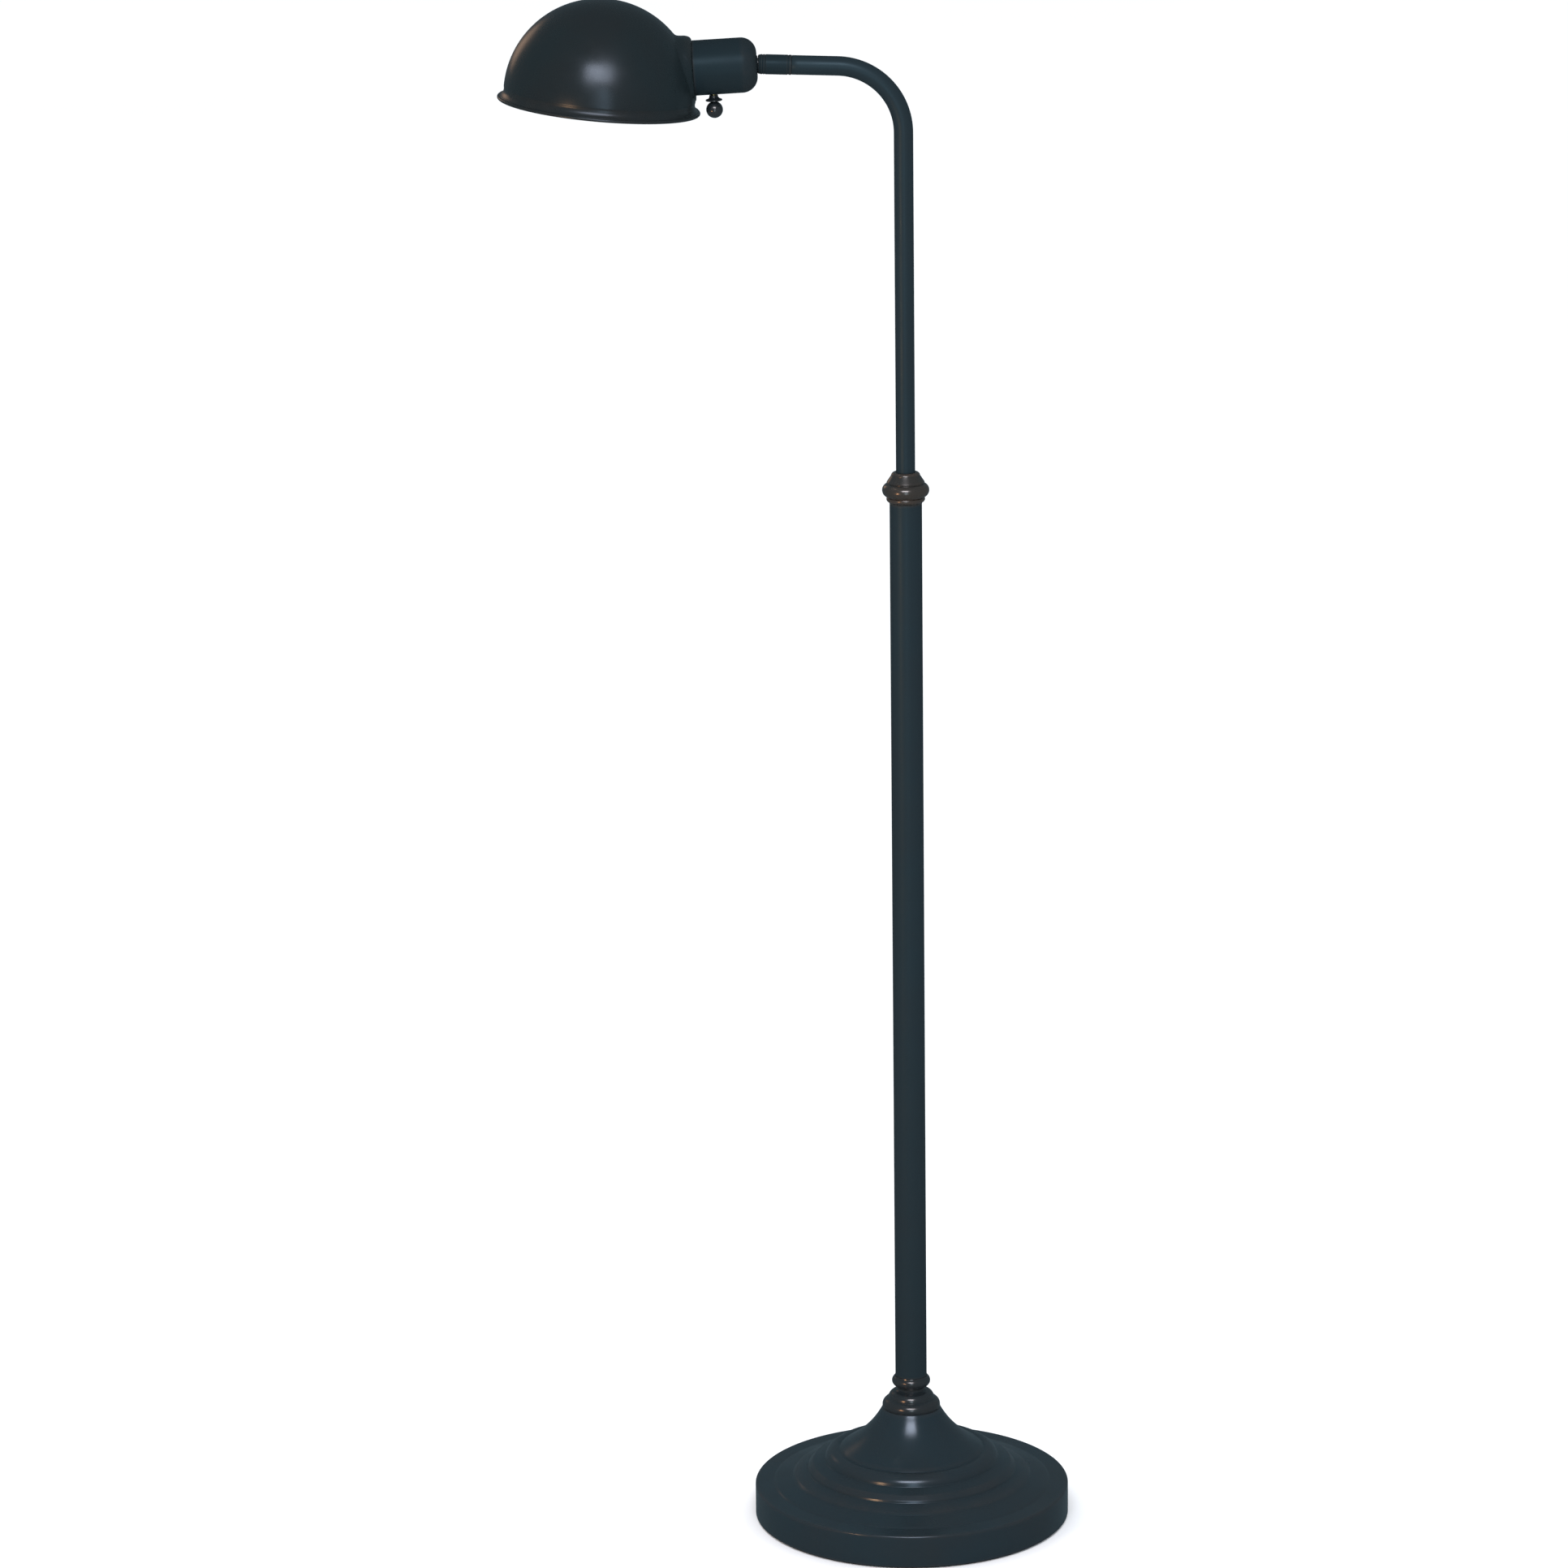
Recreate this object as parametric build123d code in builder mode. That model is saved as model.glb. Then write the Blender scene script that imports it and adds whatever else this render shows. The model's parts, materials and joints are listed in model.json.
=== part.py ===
from build123d import *
import math
import os

# Pharmacy floor lamp. Millimetres, +Z up. The origin is on the floor, under the centre of the
# round base. The pole stands on Z and the arm reaches along -X.

# ---------------------------------------------------------------- driving dimensions
BASE_R = 127.0                # a ten inch base
FELT_T = 1.5
SHELL_T = 1.5
CONE_TOP_Z = 91.0
CONE_TOP_R = 23.4
SEAT_TOP_Z = 108.4
FOOT_TOP_Z = 118.2
LOWER_TUBE_R = 12.7           # one inch tube
LOWER_TUBE_WALL = 1.2
LOWER_TUBE_TOP_Z = 839.6
UPPER_TUBE_R = 7.5
UPPER_TUBE_WALL = 1.0
UPPER_TUBE_FOOT_Z = 735.0
ARM_Z = 1181.7                # height at which the arm's axis crosses the pole's axis
ARM_END_X = -85.6
ARM_RISE = 1.97               # degrees, the arm climbs a little towards the shade
BEND_R = 52.0
BARREL_LENGTH = 26.3
HEAD_DROOP = 3.0              # degrees, the socket cup points down a little towards the shade
CUP_R = 21.2
CUP_WALL = 1.2
CUP_LENGTH = 49.2
CUP_END_ROUND = 12.0
DOME_R = 74.0
DOME_CENTRE = (-233.5, 0.0, 1162.8)
SHADE_TILT = 5.79             # degrees, the shade's far rim is raised
SHADE_T = 1.0
RIM_R = 78.5
RIM_DROP = 7.4                # rim plane below the dome's centre
NECK_R = 25.4
KNOB_U = 35.1                 # along the cup, from the barrel
BALL_R = 6.5
HALF = math.sqrt(0.5)         # sine and cosine of 45 degrees

# ---------------------------------------------------------------- fits and fasteners
RUNNING = 0.06                # radial clearance of a piece that turns or slides on another
CLEAR = 0.3                   # space between moving pieces that don't bear on each other
THREAD_GAP = 0.05             # radial gap between a pipe thread and its nut
NIPPLE_R = 4.85               # 1/8 pipe thread
NIPPLE_BORE_R = 3.2
NUT_R = 8.1                   # half the distance across corners
NUT_H = 5.0
EDGE = 0.6

os.makedirs("parts", exist_ok=True)


def save(piece, name):
    """Label a finished piece and write it to its own STEP file."""
    piece.part.label = name
    export_step(piece.part, f"parts/{name}.step")


# Each plane below holds the profiles of one axis: its X runs along that axis, its Y is radial.
ARM_RAD = math.radians(ARM_RISE)
DROOP_RAD = math.radians(HEAD_DROOP)
TILT_RAD = math.radians(SHADE_TILT)
SIDE = (0, 1, 0)

ARM_END_Z = ARM_Z - ARM_END_X * math.tan(ARM_RAD)
ARM_PLANE = Plane(
    origin=(ARM_END_X, 0, ARM_END_Z),
    x_dir=(-math.cos(ARM_RAD), 0, math.sin(ARM_RAD)),
    z_dir=SIDE,
)
ARM_AXIS = Axis(ARM_PLANE.origin, ARM_PLANE.x_dir)

CUP_PLANE = Plane(
    origin=ARM_PLANE.from_local_coords((BARREL_LENGTH, 0, 0)),
    x_dir=(-math.cos(DROOP_RAD), 0, -math.sin(DROOP_RAD)),
    z_dir=SIDE,
)
CUP_AXIS = Axis(CUP_PLANE.origin, CUP_PLANE.x_dir)

KNOB_PLANE = Plane(
    origin=CUP_PLANE.from_local_coords((KNOB_U, 0, 0)),
    x_dir=(math.sin(DROOP_RAD), 0, -math.cos(DROOP_RAD)),
    z_dir=SIDE,
)
KNOB_AXIS = Axis(KNOB_PLANE.origin, KNOB_PLANE.x_dir)

SHADE_PLANE = Plane(
    origin=DOME_CENTRE,
    x_dir=(math.sin(TILT_RAD), 0, math.cos(TILT_RAD)),
    z_dir=SIDE,
)
SHADE_AXIS = Axis(SHADE_PLANE.origin, SHADE_PLANE.x_dir)


# ================================================================ base
LEDGE_Z = 27.0                # flat ledge under the shell's steps, where the weight bears
LEDGE_OUT = (110.0, LEDGE_Z)
LEDGE_IN = (103.0, LEDGE_Z)
WEIGHT_R = 121.0
WEIGHT_T = 15.0
WEIGHT_RIM_IN_R = 103.5
WEIGHT_RIM_OUT_R = 109.0
NUT_POCKET_R = 22.0
NUT_POCKET_H = 9.0
CORD_CHANNEL_W = 9.0
CORD_CHANNEL_H = 7.5
WEIGHT_CHAMFER = 1.5
GROMMET_Z = 9.5
GROMMET_BODY_R = 5.0
GROMMET_HEAD_R = 7.5
GROMMET_BORE_R = 3.2
GROMMET_HEAD_T = 1.6
GROMMET_HEAD_EDGE = 1.0
GROMMET_INNER_END = -3.6       # measured from the outside of the wall

with BuildPart() as base_felt:
    with BuildSketch():
        Circle(BASE_R - SHELL_T - EDGE)
    extrude(amount=FELT_T)
save(base_felt, "base_felt")

# The weight is a cast disc. Its raised ring carries the shell, its pocket holds the nut and
# washer, and a channel underneath leads from the rear grommet to the pole.
with BuildPart() as base_weight:
    with BuildSketch(Plane.XY.offset(FELT_T)):
        Circle(WEIGHT_R)
    extrude(amount=WEIGHT_T)
    with BuildSketch(Plane.XY.offset(FELT_T + WEIGHT_T)):
        Circle(WEIGHT_RIM_OUT_R)
        Circle(WEIGHT_RIM_IN_R, mode=Mode.SUBTRACT)
    extrude(amount=LEDGE_Z - FELT_T - WEIGHT_T)
    with BuildSketch(Plane.XY.offset(FELT_T)):
        Circle(NUT_POCKET_R)
    extrude(amount=NUT_POCKET_H, mode=Mode.SUBTRACT)
    with BuildSketch(Plane.XY.offset(FELT_T)):
        with Locations((0, WEIGHT_R / 2)):
            Rectangle(CORD_CHANNEL_W, WEIGHT_R)
    extrude(amount=CORD_CHANNEL_H, mode=Mode.SUBTRACT)
    with BuildSketch(Plane.XY.offset(FELT_T)):
        Circle(NIPPLE_R + CLEAR)
    extrude(amount=WEIGHT_T, mode=Mode.SUBTRACT)
    chamfer(base_weight.edges().filter_by(GeomType.CIRCLE).group_by(SortBy.RADIUS)[-1], WEIGHT_CHAMFER)
save(base_weight, "base_weight")

# Outer steps of the spun shell, from the rim's wall up to the cone.
RIM_TOP_Z = 26.2
RIM_ROUND = 1.6
RIM_SHOULDER = (125.5, 27.6)
STEP_1 = (112.2, 28.4)
STEP_1_TOP = (111.0, 29.2)
STEP_2 = (96.6, 33.4)
STEP_2_TOP = (95.0, 35.0)
STEP_3 = (84.6, 39.2)
STEP_3_TOP = (84.0, 41.0)
STEP_4 = (80.5, 44.4)
BEAD_OUT = (70.6, 47.6)
BEAD_MID = (67.4, 53.4)
BEAD_IN = (58.6, 55.4)
CONE_FOOT = (57.4, 56.9)
CONE_MID = (37.4, 71.8)
CONE_TOP = (CONE_TOP_R, CONE_TOP_Z)

# The hollow under them, with a flat ledge where the weight bears.
HOLLOW_WALL = (BASE_R - SHELL_T, 25.4)
HOLLOW_SHOULDER = (111.4, 26.7)
HOLLOW_STEPS = ((97.2, 31.2), (95.2, 33.0), (85.4, 36.8), (82.4, 39.4), (79.8, 42.6), (69.4, 45.7))
HOLLOW_BEAD = (65.4, 51.4)
HOLLOW_CONE_FOOT = (56.4, 54.0)
HOLLOW_CONE_MID = (36.0, 70.0)
HOLLOW_TOP_Z = CONE_TOP_Z - 2.0
HOLLOW_TOP = (CONE_TOP_R - 2.4, HOLLOW_TOP_Z)

with BuildPart() as base_shell:
    with BuildSketch(Plane.XZ):
        with BuildLine():
            Line((0, FELT_T), (BASE_R, FELT_T))
            Line((BASE_R, FELT_T), (BASE_R, RIM_TOP_Z))
            RadiusArc((BASE_R, RIM_TOP_Z), RIM_SHOULDER, -RIM_ROUND)
            Polyline(RIM_SHOULDER, STEP_1, STEP_1_TOP, STEP_2, STEP_2_TOP)
            Polyline(STEP_2_TOP, STEP_3, STEP_3_TOP, STEP_4, BEAD_OUT)
            ThreePointArc(BEAD_OUT, BEAD_MID, BEAD_IN)
            Line(BEAD_IN, CONE_FOOT)
            ThreePointArc(CONE_FOOT, CONE_MID, CONE_TOP)
            Line(CONE_TOP, (0, CONE_TOP_Z))
            Line((0, CONE_TOP_Z), (0, FELT_T))
        make_face()
    revolve(axis=Axis.Z)
    with BuildSketch(Plane.XZ):
        with BuildLine():
            Line((0, FELT_T), (BASE_R - SHELL_T, FELT_T))
            Polyline((BASE_R - SHELL_T, FELT_T), HOLLOW_WALL, HOLLOW_SHOULDER, LEDGE_OUT, LEDGE_IN)
            Polyline(LEDGE_IN, *HOLLOW_STEPS, HOLLOW_BEAD, HOLLOW_CONE_FOOT)
            ThreePointArc(HOLLOW_CONE_FOOT, HOLLOW_CONE_MID, HOLLOW_TOP)
            Line(HOLLOW_TOP, (0, HOLLOW_TOP_Z))
            Line((0, HOLLOW_TOP_Z), (0, FELT_T))
        make_face()
    revolve(axis=Axis.Z, mode=Mode.SUBTRACT)
    with BuildSketch(Plane.XY.offset(CONE_TOP_Z - 2 * SHELL_T)):
        Circle(NIPPLE_R + CLEAR)
    extrude(amount=2 * SHELL_T, mode=Mode.SUBTRACT)
    # Hole for the grommet in the rear wall.
    with BuildSketch(Plane.XZ.offset(-BASE_R - SHELL_T)):
        with Locations((0, GROMMET_Z)):
            Circle(GROMMET_BODY_R)
    extrude(amount=4 * SHELL_T, mode=Mode.SUBTRACT)
save(base_shell, "base_shell")

GROMMET_PLANE = Plane(origin=(0, BASE_R, GROMMET_Z), x_dir=(0, 1, 0), z_dir=(1, 0, 0))
with BuildPart() as cord_grommet:
    with BuildSketch(GROMMET_PLANE):
        with BuildLine():
            Polyline(
                (GROMMET_INNER_END, GROMMET_BORE_R),
                (GROMMET_HEAD_T, GROMMET_BORE_R),
                (GROMMET_HEAD_T, GROMMET_HEAD_R - GROMMET_HEAD_EDGE),
                (GROMMET_HEAD_T - GROMMET_HEAD_EDGE, GROMMET_HEAD_R),
                (THREAD_GAP, GROMMET_HEAD_R),
                (THREAD_GAP, GROMMET_BODY_R - THREAD_GAP),
                (GROMMET_INNER_END, GROMMET_BODY_R - THREAD_GAP),
                close=True,
            )
        make_face()
    revolve(axis=Axis((0, BASE_R, GROMMET_Z), (0, 1, 0)))
save(cord_grommet, "cord_grommet")

WASHER_T = 1.5
BASE_WASHER_R = 19.0
WASHER_TOP_Z = FELT_T + NUT_POCKET_H
with BuildPart() as base_washer:
    with BuildSketch(Plane.XY.offset(WASHER_TOP_Z - WASHER_T)):
        Circle(BASE_WASHER_R)
        Circle(NIPPLE_R + CLEAR, mode=Mode.SUBTRACT)
    extrude(amount=WASHER_T)
save(base_washer, "base_washer")

with BuildPart() as base_nut:
    with BuildSketch(Plane.XY.offset(WASHER_TOP_Z - WASHER_T - NUT_H)):
        RegularPolygon(NUT_R, 6)
        Circle(NIPPLE_R + THREAD_GAP, mode=Mode.SUBTRACT)
    extrude(amount=NUT_H)
save(base_nut, "base_nut")

NIPPLE_FOOT_Z = 2.6
COUPLER_H = 16.0
NIPPLE_TOP_Z = FOOT_TOP_Z + COUPLER_H - 4.0
with BuildPart() as base_nipple:
    with BuildSketch(Plane.XY.offset(NIPPLE_FOOT_Z)):
        Circle(NIPPLE_R)
        Circle(NIPPLE_BORE_R, mode=Mode.SUBTRACT)
    extrude(amount=NIPPLE_TOP_Z - NIPPLE_FOOT_Z)
save(base_nipple, "base_nipple")

# The turned seat on top of the cone: two beads and a short neck.
SEAT_NECK_R = 11.2
SEAT_BORE_R = NIPPLE_R + THREAD_GAP
SEAT_LOWER_BEAD = ((23.2, CONE_TOP_Z), (23.2, 94.6), (20.4, 98.2))
SEAT_UPPER_BEAD = ((18.6, 99.0), (17.4, 102.6), (12.6, 105.2))
SEAT_NECK_FOOT = (SEAT_NECK_R, 106.2)
SEAT_NECK_TOP = (SEAT_NECK_R, SEAT_TOP_Z)
with BuildPart() as neck_seat:
    with BuildSketch(Plane.XZ):
        with BuildLine():
            Line((SEAT_BORE_R, CONE_TOP_Z), SEAT_LOWER_BEAD[0])
            ThreePointArc(*SEAT_LOWER_BEAD)
            Line(SEAT_LOWER_BEAD[2], SEAT_UPPER_BEAD[0])
            ThreePointArc(*SEAT_UPPER_BEAD)
            Polyline(SEAT_UPPER_BEAD[2], SEAT_NECK_FOOT, SEAT_NECK_TOP, (SEAT_BORE_R, SEAT_TOP_Z))
            Line((SEAT_BORE_R, SEAT_TOP_Z), (SEAT_BORE_R, CONE_TOP_Z))
        make_face()
    revolve(axis=Axis.Z)
save(neck_seat, "neck_seat")

RING_FOOT_R = 12.0
RING_BEAD = ((12.4, 109.4), (15.5, 113.4), (13.4, 117.4))
RING_TOP_R = 13.2
with BuildPart() as foot_ring:
    with BuildSketch(Plane.XZ):
        with BuildLine():
            Polyline((SEAT_BORE_R, SEAT_TOP_Z), (RING_FOOT_R, SEAT_TOP_Z), RING_BEAD[0])
            ThreePointArc(*RING_BEAD)
            Polyline(RING_BEAD[2], (RING_TOP_R, FOOT_TOP_Z), (SEAT_BORE_R, FOOT_TOP_Z))
            Line((SEAT_BORE_R, FOOT_TOP_Z), (SEAT_BORE_R, SEAT_TOP_Z))
        make_face()
    revolve(axis=Axis.Z)
save(foot_ring, "foot_ring")

# ================================================================ lower pole and its clamp
LOWER_BORE_R = LOWER_TUBE_R - LOWER_TUBE_WALL

with BuildPart() as tube_coupler:
    with BuildSketch(Plane.XY.offset(FOOT_TOP_Z)):
        Circle(LOWER_BORE_R - THREAD_GAP)
        Circle(NIPPLE_R + THREAD_GAP, mode=Mode.SUBTRACT)
    extrude(amount=COUPLER_H)
    chamfer(tube_coupler.edges().group_by(Axis.Z)[-1], EDGE)
save(tube_coupler, "tube_coupler")

with BuildPart() as lower_tube:
    with BuildSketch(Plane.XY.offset(FOOT_TOP_Z)):
        Circle(LOWER_TUBE_R)
        Circle(LOWER_BORE_R, mode=Mode.SUBTRACT)
    extrude(amount=LOWER_TUBE_TOP_Z - FOOT_TOP_Z)
save(lower_tube, "lower_tube")

FERRULE_TOP_Z = 855.0
FERRULE_FLANGE_Z = 844.4
FERRULE_THREAD_R = 12.0
FERRULE_BORE_R = 9.3
FERRULE_SPIGOT_Z = 828.0
SPIGOT_R = LOWER_BORE_R - THREAD_GAP
FERRULE_BEAD = ((13.0, LOWER_TUBE_TOP_Z), (15.5, 842.2), (14.4, FERRULE_FLANGE_Z))
with BuildPart() as clamp_ferrule:
    with BuildSketch(Plane.XZ):
        with BuildLine():
            Line((FERRULE_BORE_R, FERRULE_SPIGOT_Z), (SPIGOT_R, FERRULE_SPIGOT_Z))
            Polyline((SPIGOT_R, FERRULE_SPIGOT_Z), (SPIGOT_R, LOWER_TUBE_TOP_Z), FERRULE_BEAD[0])
            ThreePointArc(*FERRULE_BEAD)
            Line(FERRULE_BEAD[2], (FERRULE_THREAD_R, FERRULE_FLANGE_Z))
            Line((FERRULE_THREAD_R, FERRULE_FLANGE_Z), (FERRULE_THREAD_R, FERRULE_TOP_Z))
            Line((FERRULE_THREAD_R, FERRULE_TOP_Z), (FERRULE_BORE_R, FERRULE_TOP_Z))
            Line((FERRULE_BORE_R, FERRULE_TOP_Z), (FERRULE_BORE_R, FERRULE_SPIGOT_Z))
        make_face()
    revolve(axis=Axis.Z)
save(clamp_ferrule, "clamp_ferrule")

BUSH_TOP_Z = 846.0
BUSH_FLANGE_T = 2.0
SLEEVE_R = FERRULE_BORE_R - THREAD_GAP
with BuildPart() as guide_bush:
    with BuildSketch(Plane.XY.offset(FERRULE_SPIGOT_Z - BUSH_FLANGE_T)):
        Circle(LOWER_BORE_R - CLEAR)
        Circle(UPPER_TUBE_R + RUNNING, mode=Mode.SUBTRACT)
    extrude(amount=BUSH_FLANGE_T)
    with BuildSketch(Plane.XY.offset(FERRULE_SPIGOT_Z)):
        Circle(SLEEVE_R)
        Circle(UPPER_TUBE_R + RUNNING, mode=Mode.SUBTRACT)
    extrude(amount=BUSH_TOP_Z - FERRULE_SPIGOT_Z)
save(guide_bush, "guide_bush")

# The split ring that the collar squeezes onto the upper pole.
RING_TOP_Z = 860.0
RING_HEAD_R = 10.8
RING_CONE_FOOT_Z = 856.4
RING_CONE_TOP_R = 9.0
RING_SLIT = 1.2
with BuildPart() as compression_ring:
    with BuildSketch(Plane.XZ):
        with BuildLine():
            Polyline(
                (UPPER_TUBE_R + RUNNING, BUSH_TOP_Z),
                (SLEEVE_R, BUSH_TOP_Z),
                (SLEEVE_R, FERRULE_TOP_Z),
                (RING_HEAD_R, FERRULE_TOP_Z),
                (RING_HEAD_R, RING_CONE_FOOT_Z),
                (RING_CONE_TOP_R, RING_TOP_Z),
                (UPPER_TUBE_R + RUNNING, RING_TOP_Z),
                close=True,
            )
        make_face()
    revolve(axis=Axis.Z)
    with BuildSketch(Plane.XY.offset(BUSH_TOP_Z)):
        with Locations((LOWER_TUBE_R / 2, 0)):
            Rectangle(LOWER_TUBE_R, RING_SLIT)
    extrude(amount=RING_TOP_Z - BUSH_TOP_Z, mode=Mode.SUBTRACT)
save(compression_ring, "compression_ring")

# ================================================================ clamp collar
COLLAR_FOOT_Z = 844.8
COLLAR_TOP_Z = 864.6
COLLAR_SHOULDER_Z = 856.8
COLLAR_BORE_R = FERRULE_THREAD_R + RUNNING
COLLAR_MOUTH_R = UPPER_TUBE_R + CLEAR
COLLAR_LIP = (14.7, COLLAR_FOOT_Z)
COLLAR_BEAD = ((15.6, 845.4), (18.5, 850.3), (15.6, 855.2))
COLLAR_GROOVE = (14.5, 855.6)
COLLAR_SHOULDER = (14.9, COLLAR_SHOULDER_Z)
COLLAR_CROWN = ((11.4, 862.0), (10.5, 863.9), (8.6, COLLAR_TOP_Z))
COLLAR_MOUTH_FOOT = (COLLAR_MOUTH_R, 863.0)
COLLAR_SEAT = (11.5, COLLAR_SHOULDER_Z)
COLLAR_THREAD_END = (COLLAR_BORE_R, 856.0)
with BuildPart() as clamp_collar:
    with BuildSketch(Plane.XZ):
        with BuildLine():
            Polyline((COLLAR_BORE_R, COLLAR_FOOT_Z), COLLAR_LIP, COLLAR_BEAD[0])
            ThreePointArc(*COLLAR_BEAD)
            Polyline(COLLAR_BEAD[2], COLLAR_GROOVE, COLLAR_SHOULDER, COLLAR_CROWN[0])
            ThreePointArc(*COLLAR_CROWN)
            Polyline(COLLAR_CROWN[2], (COLLAR_MOUTH_R, COLLAR_TOP_Z), COLLAR_MOUTH_FOOT, COLLAR_SEAT)
            Polyline(COLLAR_SEAT, COLLAR_THREAD_END, (COLLAR_BORE_R, COLLAR_FOOT_Z))
        make_face()
    revolve(axis=Axis.Z)
save(clamp_collar, "clamp_collar")

# ================================================================ slider and upper pole
GLIDE_H = 8.0
GLIDE_FOOT_Z = UPPER_TUBE_FOOT_Z + CLEAR
CLIP_T = 1.2
CLIP_WIDTH = 2.2
CLIP_MOUTH = 5.0
with BuildPart() as glide_ring:
    with BuildSketch(Plane.XY.offset(GLIDE_FOOT_Z)):
        Circle(LOWER_BORE_R - RUNNING)
        Circle(UPPER_TUBE_R + RUNNING, mode=Mode.SUBTRACT)
    extrude(amount=GLIDE_H)
    chamfer(glide_ring.edges().filter_by(GeomType.CIRCLE).group_by(SortBy.RADIUS)[-1], EDGE)
save(glide_ring, "glide_ring")

with BuildPart() as retaining_clip:
    with BuildSketch(Plane.XY.offset(GLIDE_FOOT_Z + GLIDE_H + CLEAR)):
        Circle(UPPER_TUBE_R + CLIP_WIDTH)
        Circle(UPPER_TUBE_R, mode=Mode.SUBTRACT)
        with Locations((UPPER_TUBE_R, 0)):
            Rectangle(2 * UPPER_TUBE_R, CLIP_MOUTH, mode=Mode.SUBTRACT)
    extrude(amount=CLIP_T)
save(retaining_clip, "retaining_clip")

UPPER_BORE_R = UPPER_TUBE_R - UPPER_TUBE_WALL
PLUG_FLANGE_R = 9.5
PLUG_FLANGE_T = 1.6
PLUG_LENGTH = 9.0
with BuildPart() as tube_end_plug:
    with BuildSketch(Plane.XY.offset(UPPER_TUBE_FOOT_Z - PLUG_FLANGE_T)):
        Circle(PLUG_FLANGE_R)
    extrude(amount=PLUG_FLANGE_T)
    with BuildSketch(Plane.XY.offset(UPPER_TUBE_FOOT_Z)):
        Circle(UPPER_BORE_R - THREAD_GAP)
    extrude(amount=PLUG_LENGTH)
    with BuildSketch(Plane.XY.offset(UPPER_TUBE_FOOT_Z - PLUG_FLANGE_T)):
        Circle(NIPPLE_BORE_R)
    extrude(amount=PLUG_FLANGE_T + PLUG_LENGTH, mode=Mode.SUBTRACT)
save(tube_end_plug, "tube_end_plug")

with BuildPart() as upper_tube:
    with BuildLine():
        FilletPolyline(
            (0, 0, UPPER_TUBE_FOOT_Z),
            (0, 0, ARM_Z),
            (ARM_END_X, 0, ARM_END_Z),
            radius=BEND_R,
        )
    with BuildSketch(Plane.XY.offset(UPPER_TUBE_FOOT_Z)):
        Circle(UPPER_TUBE_R)
        Circle(UPPER_BORE_R, mode=Mode.SUBTRACT)
    sweep()
save(upper_tube, "upper_tube")

# ================================================================ in-line swivel
INSERT_L = 12.0
JOURNAL_R = 5.2
BARREL_R = 7.7
BARREL_WALL_END = 4.6
BARREL_CAVITY_R = 6.5
BARREL_CAVITY_END = 14.0
TOOTH_START = 5.6
HEAD_START = 8.2
SPINDLE_END = 10.4
TOOTH_ROOT_R = 4.9
SPINDLE_HEAD_R = 6.1
STOP_PIN_R = 0.5
STOP_PIN_OFFSET = 5.9
WASHER_R = 6.3
NIPPLE_SWING_R = 5.7          # wide enough for the nipple to lean by the droop
SPINDLE_START = -10.0
TOOTH_SINK = 0.2              # the tooth starts this far under the spindle's surface
WASHER_GAP = 0.1
BARREL_END = BARREL_LENGTH - CLEAR
BARREL_EDGE = 0.4
BARREL_TAPER = (1.2, 1.4)     # length and depth of the bevel beside the cup

STOP_PIN_PLANE = Plane(
    origin=ARM_PLANE.from_local_coords((BARREL_WALL_END, -STOP_PIN_OFFSET, 0)),
    z_dir=ARM_PLANE.x_dir,
)

with BuildPart() as arm_insert:
    with BuildSketch(ARM_PLANE):
        with BuildLine():
            Polyline(
                (-INSERT_L, NIPPLE_R + THREAD_GAP),
                (0, NIPPLE_R + THREAD_GAP),
                (0, UPPER_BORE_R - THREAD_GAP),
                (-INSERT_L, UPPER_BORE_R - THREAD_GAP),
                close=True,
            )
        make_face()
    revolve(axis=ARM_AXIS)
save(arm_insert, "arm_insert")

# The spindle screws into the arm. The barrel turns on its journal, and its tooth meets the
# barrel's stop pin before a full turn, so the wires can't be wound up.
with BuildPart() as swivel_spindle:
    with BuildSketch(ARM_PLANE):
        with BuildLine():
            Polyline(
                (SPINDLE_START, NIPPLE_BORE_R),
                (SPINDLE_END, NIPPLE_BORE_R),
                (SPINDLE_END, SPINDLE_HEAD_R),
                (HEAD_START, SPINDLE_HEAD_R),
                (HEAD_START, TOOTH_ROOT_R),
                (TOOTH_START, TOOTH_ROOT_R),
                (TOOTH_START, JOURNAL_R),
                (CLEAR, JOURNAL_R),
                (CLEAR, NIPPLE_R),
                (SPINDLE_START, NIPPLE_R),
                close=True,
            )
        make_face()
    revolve(axis=ARM_AXIS)
    with BuildSketch(ARM_PLANE):
        with BuildLine():
            Polyline(
                (TOOTH_START, TOOTH_ROOT_R - TOOTH_SINK),
                (HEAD_START, TOOTH_ROOT_R - TOOTH_SINK),
                (HEAD_START, SPINDLE_HEAD_R),
                (TOOTH_START, SPINDLE_HEAD_R),
                close=True,
            )
        make_face()
    extrude(amount=STOP_PIN_R, both=True)
save(swivel_spindle, "swivel_spindle")

# The stop pin keys the friction washer to the barrel.
with BuildPart() as friction_washer:
    with BuildSketch(ARM_PLANE):
        with BuildLine():
            Polyline(
                (BARREL_WALL_END + WASHER_GAP, JOURNAL_R + THREAD_GAP),
                (TOOTH_START - WASHER_GAP, JOURNAL_R + THREAD_GAP),
                (TOOTH_START - WASHER_GAP, WASHER_R),
                (BARREL_WALL_END + WASHER_GAP, WASHER_R),
                close=True,
            )
        make_face()
    revolve(axis=ARM_AXIS)
    with BuildSketch(STOP_PIN_PLANE):
        Circle(STOP_PIN_R + RUNNING)
    extrude(amount=HEAD_START - BARREL_WALL_END, mode=Mode.SUBTRACT)
save(friction_washer, "friction_washer")

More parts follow.
